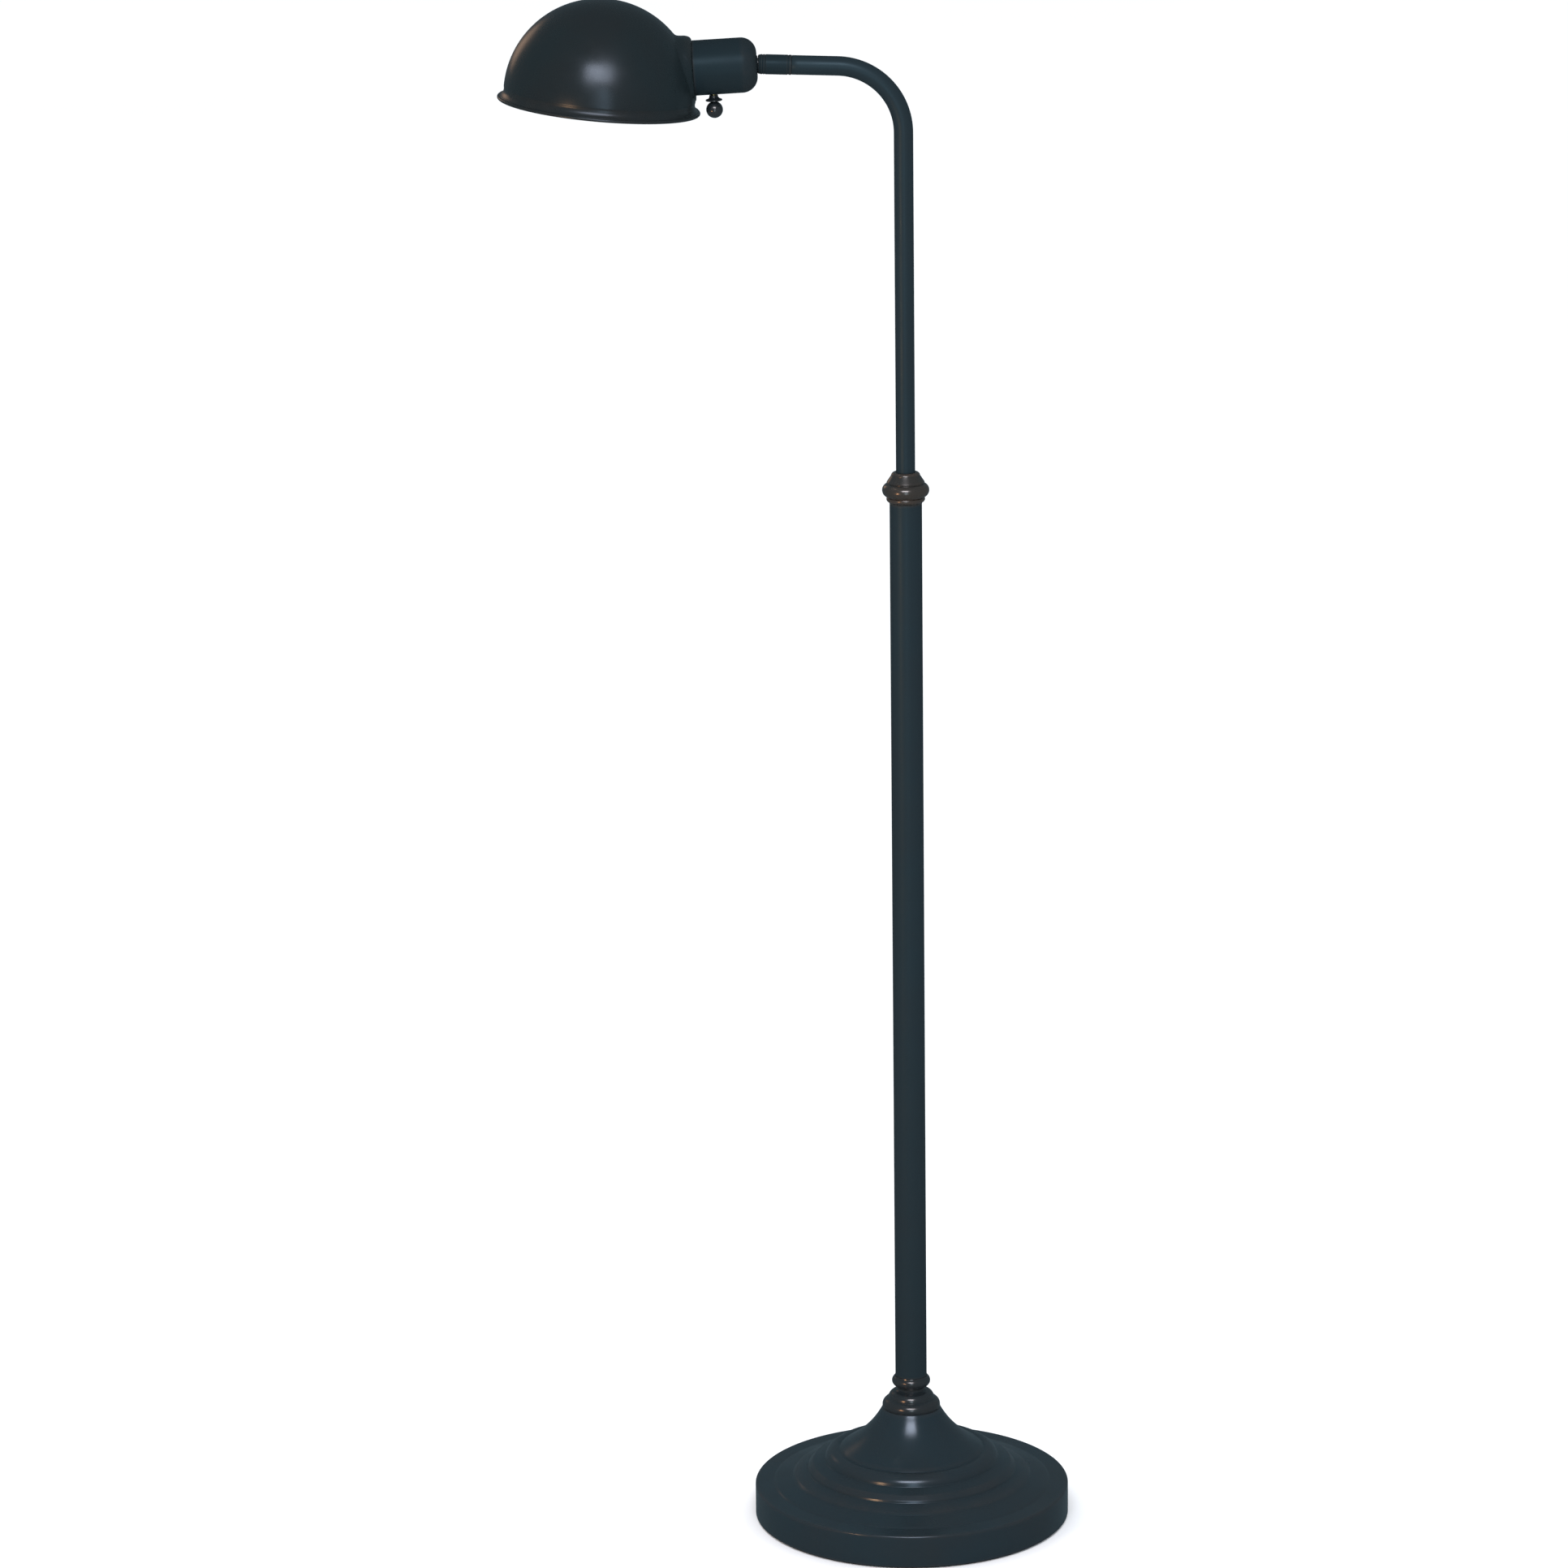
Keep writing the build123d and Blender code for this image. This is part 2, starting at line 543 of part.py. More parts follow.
with BuildPart() as swivel_barrel:
    with BuildSketch(ARM_PLANE):
        with BuildLine():
            Polyline(
                (CLEAR, JOURNAL_R + RUNNING),
                (CLEAR, BARREL_R - BARREL_EDGE),
                (CLEAR + BARREL_EDGE, BARREL_R),
                (BARREL_END - BARREL_TAPER[0], BARREL_R),
                (BARREL_END, BARREL_R - BARREL_TAPER[1]),
                (BARREL_END, NIPPLE_SWING_R),
                (BARREL_CAVITY_END, NIPPLE_SWING_R),
                (BARREL_CAVITY_END, BARREL_CAVITY_R),
                (BARREL_WALL_END, BARREL_CAVITY_R),
                (BARREL_WALL_END, JOURNAL_R + RUNNING),
                close=True,
            )
        make_face()
    revolve(axis=ARM_AXIS)
save(swivel_barrel, "swivel_barrel")

with BuildPart() as stop_pin:
    with BuildSketch(STOP_PIN_PLANE):
        Circle(STOP_PIN_R)
    extrude(amount=HEAD_START - BARREL_WALL_END - CLEAR)
save(stop_pin, "stop_pin")

# ================================================================ socket cup and lampholder
CUP_FACE = 0.3                # end of the barrel to the cup's closed end
CUP_MOUTH = CUP_FACE + CUP_LENGTH
CUP_FLOOR = CUP_FACE + CUP_WALL
NUT_START = CUP_FLOOR + 1.2
HEAD_NIPPLE_START = -10.0
HEAD_NIPPLE_END = 16.0
CAP_START = 12.0
BODY_START = 18.0
BODY_END = 74.0
BODY_R = 17.0
RECESS_START = 47.0
RECESS_R = 14.6
SWITCH_END = 43.0
SWITCH_R = 13.0
SHAFT_R = 2.0
SHAFT_HOLE_R = 2.4

with BuildPart() as head_nipple:
    with BuildSketch(CUP_PLANE):
        with BuildLine():
            Polyline(
                (HEAD_NIPPLE_START, NIPPLE_BORE_R),
                (HEAD_NIPPLE_START, NIPPLE_R),
                (HEAD_NIPPLE_END, NIPPLE_R),
                (HEAD_NIPPLE_END, NIPPLE_BORE_R),
                close=True,
            )
        make_face()
    revolve(axis=CUP_AXIS)
save(head_nipple, "head_nipple")

with BuildPart() as socket_cup:
    with BuildSketch(CUP_PLANE):
        with BuildLine():
            Line((CUP_FACE, NIPPLE_R + CLEAR), (CUP_FACE, CUP_R - CUP_END_ROUND))
            TangentArc(
                (CUP_FACE, CUP_R - CUP_END_ROUND),
                (CUP_FACE + CUP_END_ROUND, CUP_R),
                tangent=(0, 1),
            )
            Line((CUP_FACE + CUP_END_ROUND, CUP_R), (CUP_MOUTH, CUP_R))
            Line((CUP_MOUTH, CUP_R), (CUP_MOUTH, CUP_R - CUP_WALL))
            Line((CUP_MOUTH, CUP_R - CUP_WALL), (CUP_FACE + CUP_END_ROUND, CUP_R - CUP_WALL))
            TangentArc(
                (CUP_FACE + CUP_END_ROUND, CUP_R - CUP_WALL),
                (CUP_FLOOR, CUP_R - CUP_END_ROUND),
                tangent=(-1, 0),
            )
            Line((CUP_FLOOR, CUP_R - CUP_END_ROUND), (CUP_FLOOR, NIPPLE_R + CLEAR))
            Line((CUP_FLOOR, NIPPLE_R + CLEAR), (CUP_FACE, NIPPLE_R + CLEAR))
        make_face()
    revolve(axis=CUP_AXIS)
    # Hole for the switch shaft, on the underside.
    with BuildSketch(Plane(origin=KNOB_PLANE.origin, z_dir=KNOB_PLANE.x_dir)):
        Circle(SHAFT_HOLE_R)
    extrude(amount=CUP_R + 1, mode=Mode.SUBTRACT)
save(socket_cup, "socket_cup")

LOCK_WASHER_R = 8.5
LOCK_TEETH = 12
LOCK_NOTCH_R = 0.7
CUP_SECTION = Plane(origin=CUP_PLANE.origin, x_dir=SIDE, z_dir=CUP_PLANE.x_dir)
with BuildPart() as lock_washer:
    with BuildSketch(CUP_SECTION.offset(CUP_FLOOR)):
        Circle(LOCK_WASHER_R)
        Circle(NIPPLE_R + CLEAR, mode=Mode.SUBTRACT)
        with PolarLocations(LOCK_WASHER_R, LOCK_TEETH):
            Circle(LOCK_NOTCH_R, mode=Mode.SUBTRACT)
    extrude(amount=NUT_START - CUP_FLOOR)
save(lock_washer, "lock_washer")

with BuildPart() as cup_nut:
    with BuildSketch(CUP_SECTION.offset(NUT_START)):
        RegularPolygon(NUT_R, 6)
        Circle(NIPPLE_R + THREAD_GAP, mode=Mode.SUBTRACT)
    extrude(amount=NUT_H)
save(cup_nut, "cup_nut")

CAP_CHAMFER = 2.0
with BuildPart() as socket_cap:
    with BuildSketch(CUP_SECTION.offset(CAP_START)):
        Circle(BODY_R)
        Circle(NIPPLE_R + THREAD_GAP, mode=Mode.SUBTRACT)
    extrude(amount=BODY_START - CAP_START)
    chamfer(socket_cap.faces().sort_by(CUP_AXIS)[0].outer_wire().edges(), CAP_CHAMFER)
save(socket_cap, "socket_cap")

# The lampholder's moulded body: the switch chamber behind, the recess for the lamp in front.
CONTACT_HOLE_R = 1.6
CONTACT_HEAD_R = 3.2
CONTACT_HEAD_T = 1.2
CONTACT_LEAF_R = 4.0
CONTACT_LEAF_T = 0.9
with BuildPart() as socket_body:
    with BuildSketch(CUP_SECTION.offset(BODY_START)):
        Circle(BODY_R)
    extrude(amount=BODY_END - BODY_START)
    with BuildSketch(CUP_SECTION.offset(RECESS_START)):
        Circle(RECESS_R)
    extrude(amount=BODY_END - RECESS_START, mode=Mode.SUBTRACT)
    with BuildSketch(CUP_SECTION.offset(BODY_START)):
        Circle(SWITCH_R)
    extrude(amount=SWITCH_END - BODY_START, mode=Mode.SUBTRACT)
    with BuildSketch(CUP_SECTION.offset(SWITCH_END)):
        Circle(CONTACT_HOLE_R)
    extrude(amount=RECESS_START - SWITCH_END, mode=Mode.SUBTRACT)
    with BuildSketch(Plane(origin=KNOB_PLANE.origin, z_dir=KNOB_PLANE.x_dir)):
        Circle(SHAFT_HOLE_R)
    extrude(amount=BODY_R + 1, mode=Mode.SUBTRACT)
save(socket_body, "socket_body")

# The contact is a rivet through the floor of the recess, with a sprung leaf for the lamp's tip.
with BuildPart() as centre_contact:
    with BuildSketch(CUP_SECTION.offset(SWITCH_END - CONTACT_HEAD_T)):
        Circle(CONTACT_HEAD_R)
    extrude(amount=CONTACT_HEAD_T)
    with BuildSketch(CUP_SECTION.offset(SWITCH_END)):
        Circle(CONTACT_HOLE_R - THREAD_GAP)
    extrude(amount=RECESS_START - SWITCH_END)
    with BuildSketch(CUP_SECTION.offset(RECESS_START)):
        Circle(CONTACT_LEAF_R)
    extrude(amount=CONTACT_LEAF_T)
save(centre_contact, "centre_contact")

SCREW_SHELL_R = 14.3
SCREW_SHELL_T = 0.5
SCREW_SHELL_FLOOR_T = 1.0
SCREW_SHELL_FLOOR_R = 6.0
SCREW_SHELL_END = BODY_END - 3.0
with BuildPart() as screw_shell:
    with BuildSketch(CUP_SECTION.offset(RECESS_START + SCREW_SHELL_FLOOR_T)):
        Circle(SCREW_SHELL_R)
        Circle(SCREW_SHELL_R - SCREW_SHELL_T, mode=Mode.SUBTRACT)
    extrude(amount=SCREW_SHELL_END - RECESS_START - SCREW_SHELL_FLOOR_T)
    with BuildSketch(CUP_SECTION.offset(RECESS_START)):
        Circle(SCREW_SHELL_R)
        Circle(SCREW_SHELL_FLOOR_R, mode=Mode.SUBTRACT)
    extrude(amount=SCREW_SHELL_FLOOR_T)
save(screw_shell, "screw_shell")

# ================================================================ shade
NECK_FACE_T = 1.2
NECK_DEPTH = 25.0
CUP_SEAT_DEPTH = 4.0
RIM_BEAD_R = 1.3
LIP_TOP = 1.0                 # height above the dome's centre where the lip leaves the dome
RIM_PLANE_U = -RIM_DROP
LIP_EDGE_R = RIM_R - RIM_BEAD_R
LIP_OUTSIDE = ((LIP_TOP, DOME_R), (-4.6, 75.0), (-6.5, LIP_EDGE_R))
LIP_INSIDE = ((-7.7, LIP_EDGE_R), (-6.4, 73.8), (LIP_TOP, DOME_R - SHADE_T))

with BuildPart() as dome_outside:
    with BuildSketch(SHADE_PLANE):
        with BuildLine():
            rim_side = math.sqrt(DOME_R**2 - RIM_DROP**2)
            Line((RIM_PLANE_U, 0), (RIM_PLANE_U, rim_side))
            ThreePointArc(
                (RIM_PLANE_U, rim_side),
                (DOME_R * HALF, DOME_R * HALF),
                (DOME_R, 0),
            )
            Line((DOME_R, 0), (RIM_PLANE_U, 0))
        make_face()
    revolve(axis=SHADE_AXIS)
    with BuildSketch(CUP_SECTION.offset(CUP_MOUTH)):
        Circle(NECK_R)
    extrude(amount=NECK_DEPTH)

DOME_BORE_R = DOME_R - SHADE_T
with BuildPart() as dome_inside:
    with BuildSketch(SHADE_PLANE):
        with BuildLine():
            bore_side = math.sqrt(DOME_BORE_R**2 - RIM_DROP**2)
            Line((RIM_PLANE_U, 0), (RIM_PLANE_U, bore_side))
            ThreePointArc(
                (RIM_PLANE_U, bore_side),
                (DOME_BORE_R * HALF, DOME_BORE_R * HALF),
                (DOME_BORE_R, 0),
            )
            Line((DOME_BORE_R, 0), (RIM_PLANE_U, 0))
        make_face()
    revolve(axis=SHADE_AXIS)
    with BuildSketch(CUP_SECTION.offset(CUP_MOUTH + NECK_FACE_T)):
        Circle(NECK_R - SHADE_T)
    extrude(amount=NECK_DEPTH - NECK_FACE_T)

# A flared lip with a rolled edge finishes the rim.
with BuildPart() as shade:
    add(dome_outside.part)
    add(dome_inside.part, mode=Mode.SUBTRACT)
    # The neck's end face, and the seat in front of it that the cup's mouth stands in.
    with BuildSketch(CUP_SECTION.offset(CUP_MOUTH)):
        Circle(NECK_R - SHADE_T / 2)
        Circle(BODY_R + CLEAR, mode=Mode.SUBTRACT)
    extrude(amount=NECK_FACE_T)
    with BuildSketch(CUP_SECTION.offset(CUP_MOUTH - CUP_SEAT_DEPTH)):
        Circle(CUP_R + THREAD_GAP)
    extrude(amount=CUP_SEAT_DEPTH, mode=Mode.SUBTRACT)
    with BuildSketch(CUP_SECTION.offset(CUP_MOUTH)):
        Circle(BODY_R + CLEAR)
    extrude(amount=NECK_FACE_T, mode=Mode.SUBTRACT)
    with BuildSketch(SHADE_PLANE):
        with BuildLine():
            ThreePointArc(*LIP_OUTSIDE)
            Line(LIP_OUTSIDE[2], LIP_INSIDE[0])
            ThreePointArc(*LIP_INSIDE)
            Line(LIP_INSIDE[2], LIP_OUTSIDE[0])
        make_face()
        with Locations((RIM_PLANE_U, LIP_EDGE_R)):
            Circle(RIM_BEAD_R)
    revolve(axis=SHADE_AXIS)
save(shade, "shade")

RING_H = 4.0
SHADE_RING_R = NECK_R - SHADE_T - 1.4
SHADE_RING_GRIPS = 16
SHADE_RING_GRIP_R = 0.9
with BuildPart() as shade_ring:
    with BuildSketch(CUP_SECTION.offset(CUP_MOUTH + NECK_FACE_T)):
        Circle(SHADE_RING_R)
        Circle(BODY_R + THREAD_GAP, mode=Mode.SUBTRACT)
        with PolarLocations(SHADE_RING_R, SHADE_RING_GRIPS):
            Circle(SHADE_RING_GRIP_R, mode=Mode.SUBTRACT)
    extrude(amount=RING_H)
save(shade_ring, "shade_ring")

# ================================================================ lamp bulb
BULB_CAP_R = 13.1
BULB_TIP = RECESS_START + CONTACT_LEAF_T
BULB_CONTACT = ((BULB_TIP, 3.4), (BULB_TIP + 0.8, 4.6))
BULB_CAP_START = BULB_TIP + 2.6
BULB_CAP_BACK_R = 9.0
BULB_CAP_SLOPE = 2.4
BULB_CAP_END = BODY_END + 1.0
BULB_LENGTH = 88.0
BULB_R = 24.0
BULB_END = BULB_TIP + BULB_LENGTH
BULB_WIDEST = BULB_END - BULB_R
BULB_MOUTH_R = BULB_CAP_R - 0.3
BULB_THROAT = (BULB_CAP_END + 9.0, 13.9)
BULB_SHOULDER = (BULB_CAP_END + 18.0, 17.6)
BULB_WAIST = (BULB_WIDEST - 9.0, 22.4)
GLASS_T = 0.7

with BuildPart() as bulb_cap:
    with BuildSketch(CUP_PLANE):
        with BuildLine():
            Polyline(
                (BULB_TIP, 0),
                *BULB_CONTACT,
                (BULB_CAP_START, BULB_CAP_BACK_R),
                (BULB_CAP_START + BULB_CAP_SLOPE, BULB_CAP_R),
                (BULB_CAP_END, BULB_CAP_R),
                (BULB_CAP_END, 0),
                close=True,
            )
        make_face()
    revolve(axis=CUP_AXIS)
save(bulb_cap, "bulb_cap")

# The glass is open at its neck, where it's cemented into the cap, and ends in a half sphere.
BULB_BORE_R = BULB_R - GLASS_T
with BuildPart() as bulb_glass:
    with BuildSketch(CUP_PLANE):
        with BuildLine():
            Line((BULB_CAP_END, 0), (BULB_CAP_END, BULB_MOUTH_R))
            ThreePointArc((BULB_CAP_END, BULB_MOUTH_R), BULB_THROAT, BULB_SHOULDER)
            ThreePointArc(BULB_SHOULDER, BULB_WAIST, (BULB_WIDEST, BULB_R))
            ThreePointArc(
                (BULB_WIDEST, BULB_R),
                (BULB_WIDEST + HALF * BULB_R, HALF * BULB_R),
                (BULB_END, 0),
            )
            Line((BULB_END, 0), (BULB_CAP_END, 0))
        make_face()
    revolve(axis=CUP_AXIS)
    with BuildSketch(CUP_PLANE):
        with BuildLine():
            bore_mouth = (BULB_CAP_END, BULB_MOUTH_R - GLASS_T)
            bore_throat = (BULB_THROAT[0], BULB_THROAT[1] - GLASS_T)
            bore_shoulder = (BULB_SHOULDER[0], BULB_SHOULDER[1] - GLASS_T)
            bore_waist = (BULB_WAIST[0], BULB_WAIST[1] - GLASS_T)
            Line((BULB_CAP_END, 0), bore_mouth)
            ThreePointArc(bore_mouth, bore_throat, bore_shoulder)
            ThreePointArc(bore_shoulder, bore_waist, (BULB_WIDEST, BULB_BORE_R))
            ThreePointArc(
                (BULB_WIDEST, BULB_BORE_R),
                (BULB_WIDEST + HALF * BULB_BORE_R, HALF * BULB_BORE_R),
                (BULB_END - GLASS_T, 0),
            )
            Line((BULB_END - GLASS_T, 0), (BULB_CAP_END, 0))
        make_face()
    revolve(axis=CUP_AXIS, mode=Mode.SUBTRACT)
save(bulb_glass, "bulb_glass")

# ================================================================ rotary switch
ROTOR_R = 6.0
ROTOR_H = 5.0
ROTOR_NOTCHES = 4
ROTOR_NOTCH_R = 2.0
SHAFT_TOP = -4.0
SHAFT_END = 27.0
STEM_TOP = CUP_R + 0.5
STEM_R = 3.7
FLANGE_R = 6.5
FLANGE_V = 25.6
BALL_V = 33.0
BALL_NECK_R = 2.6
BALL_NECK_V = BALL_V - math.sqrt(BALL_R**2 - BALL_NECK_R**2)
STEM_ARC = ((STEM_TOP, 3.4), (STEM_TOP + 1.6, 3.1), (FLANGE_V - 0.9, STEM_R))
FLANGE_BACK = ((FLANGE_V - 0.5, FLANGE_R), (FLANGE_V + 0.5, FLANGE_R), (FLANGE_V + 1.1, 3.0))
SHAFT_SECTION = Plane(origin=KNOB_PLANE.origin, z_dir=KNOB_PLANE.x_dir)

with BuildPart() as switch_rotor:
    with BuildSketch(SHAFT_SECTION.offset(-ROTOR_H / 2)):
        Circle(ROTOR_R)
        Circle(SHAFT_R + THREAD_GAP, mode=Mode.SUBTRACT)
        with PolarLocations(ROTOR_R, ROTOR_NOTCHES):
            Circle(ROTOR_NOTCH_R, mode=Mode.SUBTRACT)
    extrude(amount=ROTOR_H)
save(switch_rotor, "switch_rotor")

with BuildPart() as switch_shaft:
    with BuildSketch(SHAFT_SECTION.offset(SHAFT_TOP)):
        Circle(SHAFT_R)
    extrude(amount=SHAFT_END - SHAFT_TOP)
save(switch_shaft, "switch_shaft")

with BuildPart() as switch_knob:
    with BuildSketch(KNOB_PLANE):
        with BuildLine():
            Line((STEM_TOP, SHAFT_R + THREAD_GAP), STEM_ARC[0])
            ThreePointArc(*STEM_ARC)
            Polyline(STEM_ARC[2], *FLANGE_BACK, (BALL_NECK_V, BALL_NECK_R))
            ThreePointArc((BALL_NECK_V, BALL_NECK_R), (BALL_V, BALL_R), (BALL_V + BALL_R, 0))
            Line((BALL_V + BALL_R, 0), (SHAFT_END, 0))
            Line((SHAFT_END, 0), (SHAFT_END, SHAFT_R + THREAD_GAP))
            Line((SHAFT_END, SHAFT_R + THREAD_GAP), (STEM_TOP, SHAFT_R + THREAD_GAP))
        make_face()
    revolve(axis=KNOB_AXIS)
save(switch_knob, "switch_knob")
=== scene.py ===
import bpy
import json
import math
import numpy as np
from mathutils import Matrix, Vector


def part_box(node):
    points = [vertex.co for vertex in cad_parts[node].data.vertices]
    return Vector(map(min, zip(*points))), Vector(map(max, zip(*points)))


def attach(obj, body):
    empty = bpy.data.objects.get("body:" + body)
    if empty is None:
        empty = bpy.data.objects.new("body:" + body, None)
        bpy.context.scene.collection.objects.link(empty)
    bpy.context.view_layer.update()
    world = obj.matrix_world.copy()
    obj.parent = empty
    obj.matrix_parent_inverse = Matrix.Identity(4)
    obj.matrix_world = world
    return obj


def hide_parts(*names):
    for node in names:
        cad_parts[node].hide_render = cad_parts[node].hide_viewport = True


# The visual model of a pharmacy floor lamp. Meshes are in metres in the CAD's frame: Z up along
# the pole, -X along the arm and +Y to the back. Outlines and plain lengths are in millimetres.
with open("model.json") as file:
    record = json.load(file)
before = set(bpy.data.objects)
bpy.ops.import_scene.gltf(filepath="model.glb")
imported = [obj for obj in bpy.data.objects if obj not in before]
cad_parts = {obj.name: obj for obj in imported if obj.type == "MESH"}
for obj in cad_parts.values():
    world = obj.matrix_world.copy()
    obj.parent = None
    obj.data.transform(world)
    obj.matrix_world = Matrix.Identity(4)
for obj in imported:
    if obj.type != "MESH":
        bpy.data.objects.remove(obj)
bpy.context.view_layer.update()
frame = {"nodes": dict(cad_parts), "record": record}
SCENE = bpy.context.scene
SCENE.view_settings.view_transform = "Standard"
MM = 0.001


# ================================================================ axes of the lamp
def axis_frame(origin, along, across=(0, 1, 0)):
    """A frame for turned pieces: X runs along the axis, and Y and Z are square to it."""
    x = Vector(along).normalized()
    y = Vector(across)
    z = x.cross(y)
    turn = Matrix((x, y, z)).transposed().to_4x4()
    return Matrix.Translation(Vector(origin)) @ turn


JOINTS = {joint["name"]: joint for joint in frame["record"]["behaviour"]["joints"]}
ARM_END = Vector(JOINTS["head_swivel"]["pos_m"])
ARM_DIRECTION = Vector(JOINTS["head_swivel"]["axis"]).normalized()
KNOB_ORIGIN = Vector(JOINTS["switch_turn"]["pos_m"])
KNOB_DIRECTION = Vector(JOINTS["switch_turn"]["axis"]).normalized()
CUP_DIRECTION = Vector((KNOB_DIRECTION.z, 0, -KNOB_DIRECTION.x))
BARREL_LENGTH = 26.3 * MM
CUP_ORIGIN = ARM_END + ARM_DIRECTION * BARREL_LENGTH
DOME_CENTRE = Vector((-233.5, 0.0, 1162.8)) * MM
SHADE_TILT = math.radians(5.79)
BASE_R = 127.0
CORD_HOLE = (0, BASE_R * MM, 9.5 * MM)

POLE = axis_frame((0, 0, 0), (0, 0, 1))
ARM = axis_frame(ARM_END, ARM_DIRECTION)
CUP = axis_frame(CUP_ORIGIN, CUP_DIRECTION)
KNOB = axis_frame(KNOB_ORIGIN, KNOB_DIRECTION)
SHADE = axis_frame(DOME_CENTRE, (math.sin(SHADE_TILT), 0, math.cos(SHADE_TILT)))
GROMMET = axis_frame(CORD_HOLE, (0, 1, 0), across=(1, 0, 0))


# ================================================================ outlines
ARC_STEPS = 14
SHARP_TURN = 0.45  # radians: corners that turn less are left as they are
CORNER_STEPS = 5
CORNER_SHARE = 0.45  # the most of a side that a rounded corner takes
WEAR_REACH = 1.6  # how far from a corner its wear is felt
WEAR_FULL = 0.35  # the finish is fully worn where a corner stands this share of the reach proud
LONGEST_SIDE = 10.0
ON_AXIS = 1e-4  # a smaller radius counts as a point on the axis
NO_LENGTH = 1e-6  # a shorter side counts as none
DIAGONAL = math.sqrt(0.5)


def arc(start, middle, end, steps=ARC_STEPS):
    """Points after start on the circle through three points, given as (along, radius)."""
    (x1, y1), (x2, y2), (x3, y3) = start, middle, end
    d = 2 * (x1 * (y2 - y3) + x2 * (y3 - y1) + x3 * (y1 - y2))
    s1, s2, s3 = x1 * x1 + y1 * y1, x2 * x2 + y2 * y2, x3 * x3 + y3 * y3
    cx = (s1 * (y2 - y3) + s2 * (y3 - y1) + s3 * (y1 - y2)) / d
    cy = (s1 * (x3 - x2) + s2 * (x1 - x3) + s3 * (x2 - x1)) / d
    r = math.hypot(x1 - cx, y1 - cy)
    a1, a2, a3 = (math.atan2(y - cy, x - cx) for x, y in (start, middle, end))
    sweep = (a3 - a1) % (2 * math.pi)
    if (a2 - a1) % (2 * math.pi) > sweep:
        sweep -= 2 * math.pi
    angles = [a1 + sweep * k / steps for k in range(1, steps + 1)]
    return [(cx + r * math.cos(a), cy + r * math.sin(a)) for a in angles]


def soften(points, radius):
    """Rounds the sharp corners of a closed outline."""
    out, n = [], len(points)
    for i, p in enumerate(points):
        a, b = Vector(points[i - 1]), Vector(points[(i + 1) % n])
        v = Vector(p)
        into, away = v - a, b - v
        if into.length < NO_LENGTH or away.length < NO_LENGTH:
            continue
        angle = into.angle(away)
        if angle < SHARP_TURN:
            out.append(p)
            continue
        most = (into.length * CORNER_SHARE, away.length * CORNER_SHARE)
        cut = min(radius * math.tan(angle / 2), *most)
        p0, p1 = v - into.normalized() * cut, v + away.normalized() * cut
        for k in range(CORNER_STEPS + 1):
            t = k / CORNER_STEPS
            q = p0 * (1 - t) ** 2 + v * 2 * t * (1 - t) + p1 * t**2
            out.append(tuple(q))
    return out


def trace(*steps):
    """Joins points (along, radius) and arcs ("arc", middle, end) into one list of points."""
    points = []
    for step in steps:
        if step[0] == "arc":
            points += arc(points[-1], step[1], step[2])
        else:
            points.append(step)
    return points


def wear_along(points, reach):
    """How proud each point of an outline stands, 0 to 1, where hands and cloths rub the finish."""
    p = np.array(points)
    n = len(p)
    seg = np.linalg.norm(np.roll(p, -1, 0) - p, axis=1)
    out = []
    for i in range(n):
        gather = []
        for way in (-1, 1):
            d, j = 0.0, i
            while d < reach:
                k = (j + way) % n
                d += seg[j] if way == 1 else seg[k]
                j = k
            gather.append(p[j])
        mid = (gather[0] + gather[1]) / 2
        chord = gather[1] - gather[0]
        side = chord[0] * (p[i] - mid)[1] - chord[1] * (p[i] - mid)[0]
        out.append(side / (np.linalg.norm(chord) + 1e-9))
    return np.clip(np.array(out) / (WEAR_FULL * reach), 0, 1)


def divide(points, reach):
    """Adds points to the long sides of a closed outline, so that wear stays near its corners."""
    out = []
    for i, p in enumerate(points):
        q = points[(i + 1) % len(points)]
        out.append(p)
        length = math.dist(p, q)
        if length < 3 * reach or max(p[1], q[1]) < ON_AXIS:
            continue
        inner = length - 2 * reach
        count = int(inner // LONGEST_SIDE) + 1
        for k in range(count + 1):
            t = (reach + inner * k / count) / length
            out.append((p[0] + (q[0] - p[0]) * t, p[1] + (q[1] - p[1]) * t))
    return out


# ================================================================ meshes
def add_mesh(name, verts, faces, wear, materials, face_slots=None):
    """A smooth mesh object, with a wear value for each vertex where it has any."""
    mesh = bpy.data.meshes.new(name)
    mesh.from_pydata(verts, [], faces)
    mesh.polygons.foreach_set("use_smooth", [True] * len(mesh.polygons))
    if wear is not None:
        layer = mesh.attributes.new("wear", "FLOAT", "POINT")
        layer.data.foreach_set("value", list(wear))
    for material in materials:
        mesh.materials.append(material)
    if face_slots is not None:
        mesh.polygons.foreach_set("material_index", face_slots)
    mesh.validate()
    mesh.update()
    obj = bpy.data.objects.new(name, mesh)
    SCENE.collection.objects.link(obj)
    return obj


def face_outwards(obj):
    """Turns the faces of a closed mesh so that its volume is positive."""
    mesh = obj.data
    volume = 0.0
    for poly in mesh.polygons:
        a = mesh.vertices[poly.vertices[0]].co
        for k in range(1, len(poly.vertices) - 1):
            b = mesh.vertices[poly.vertices[k]].co
            c = mesh.vertices[poly.vertices[k + 1]].co
            volume += a.dot(b.cross(c))
    if volume < 0:
        mesh.flip_normals()
    mesh.update()


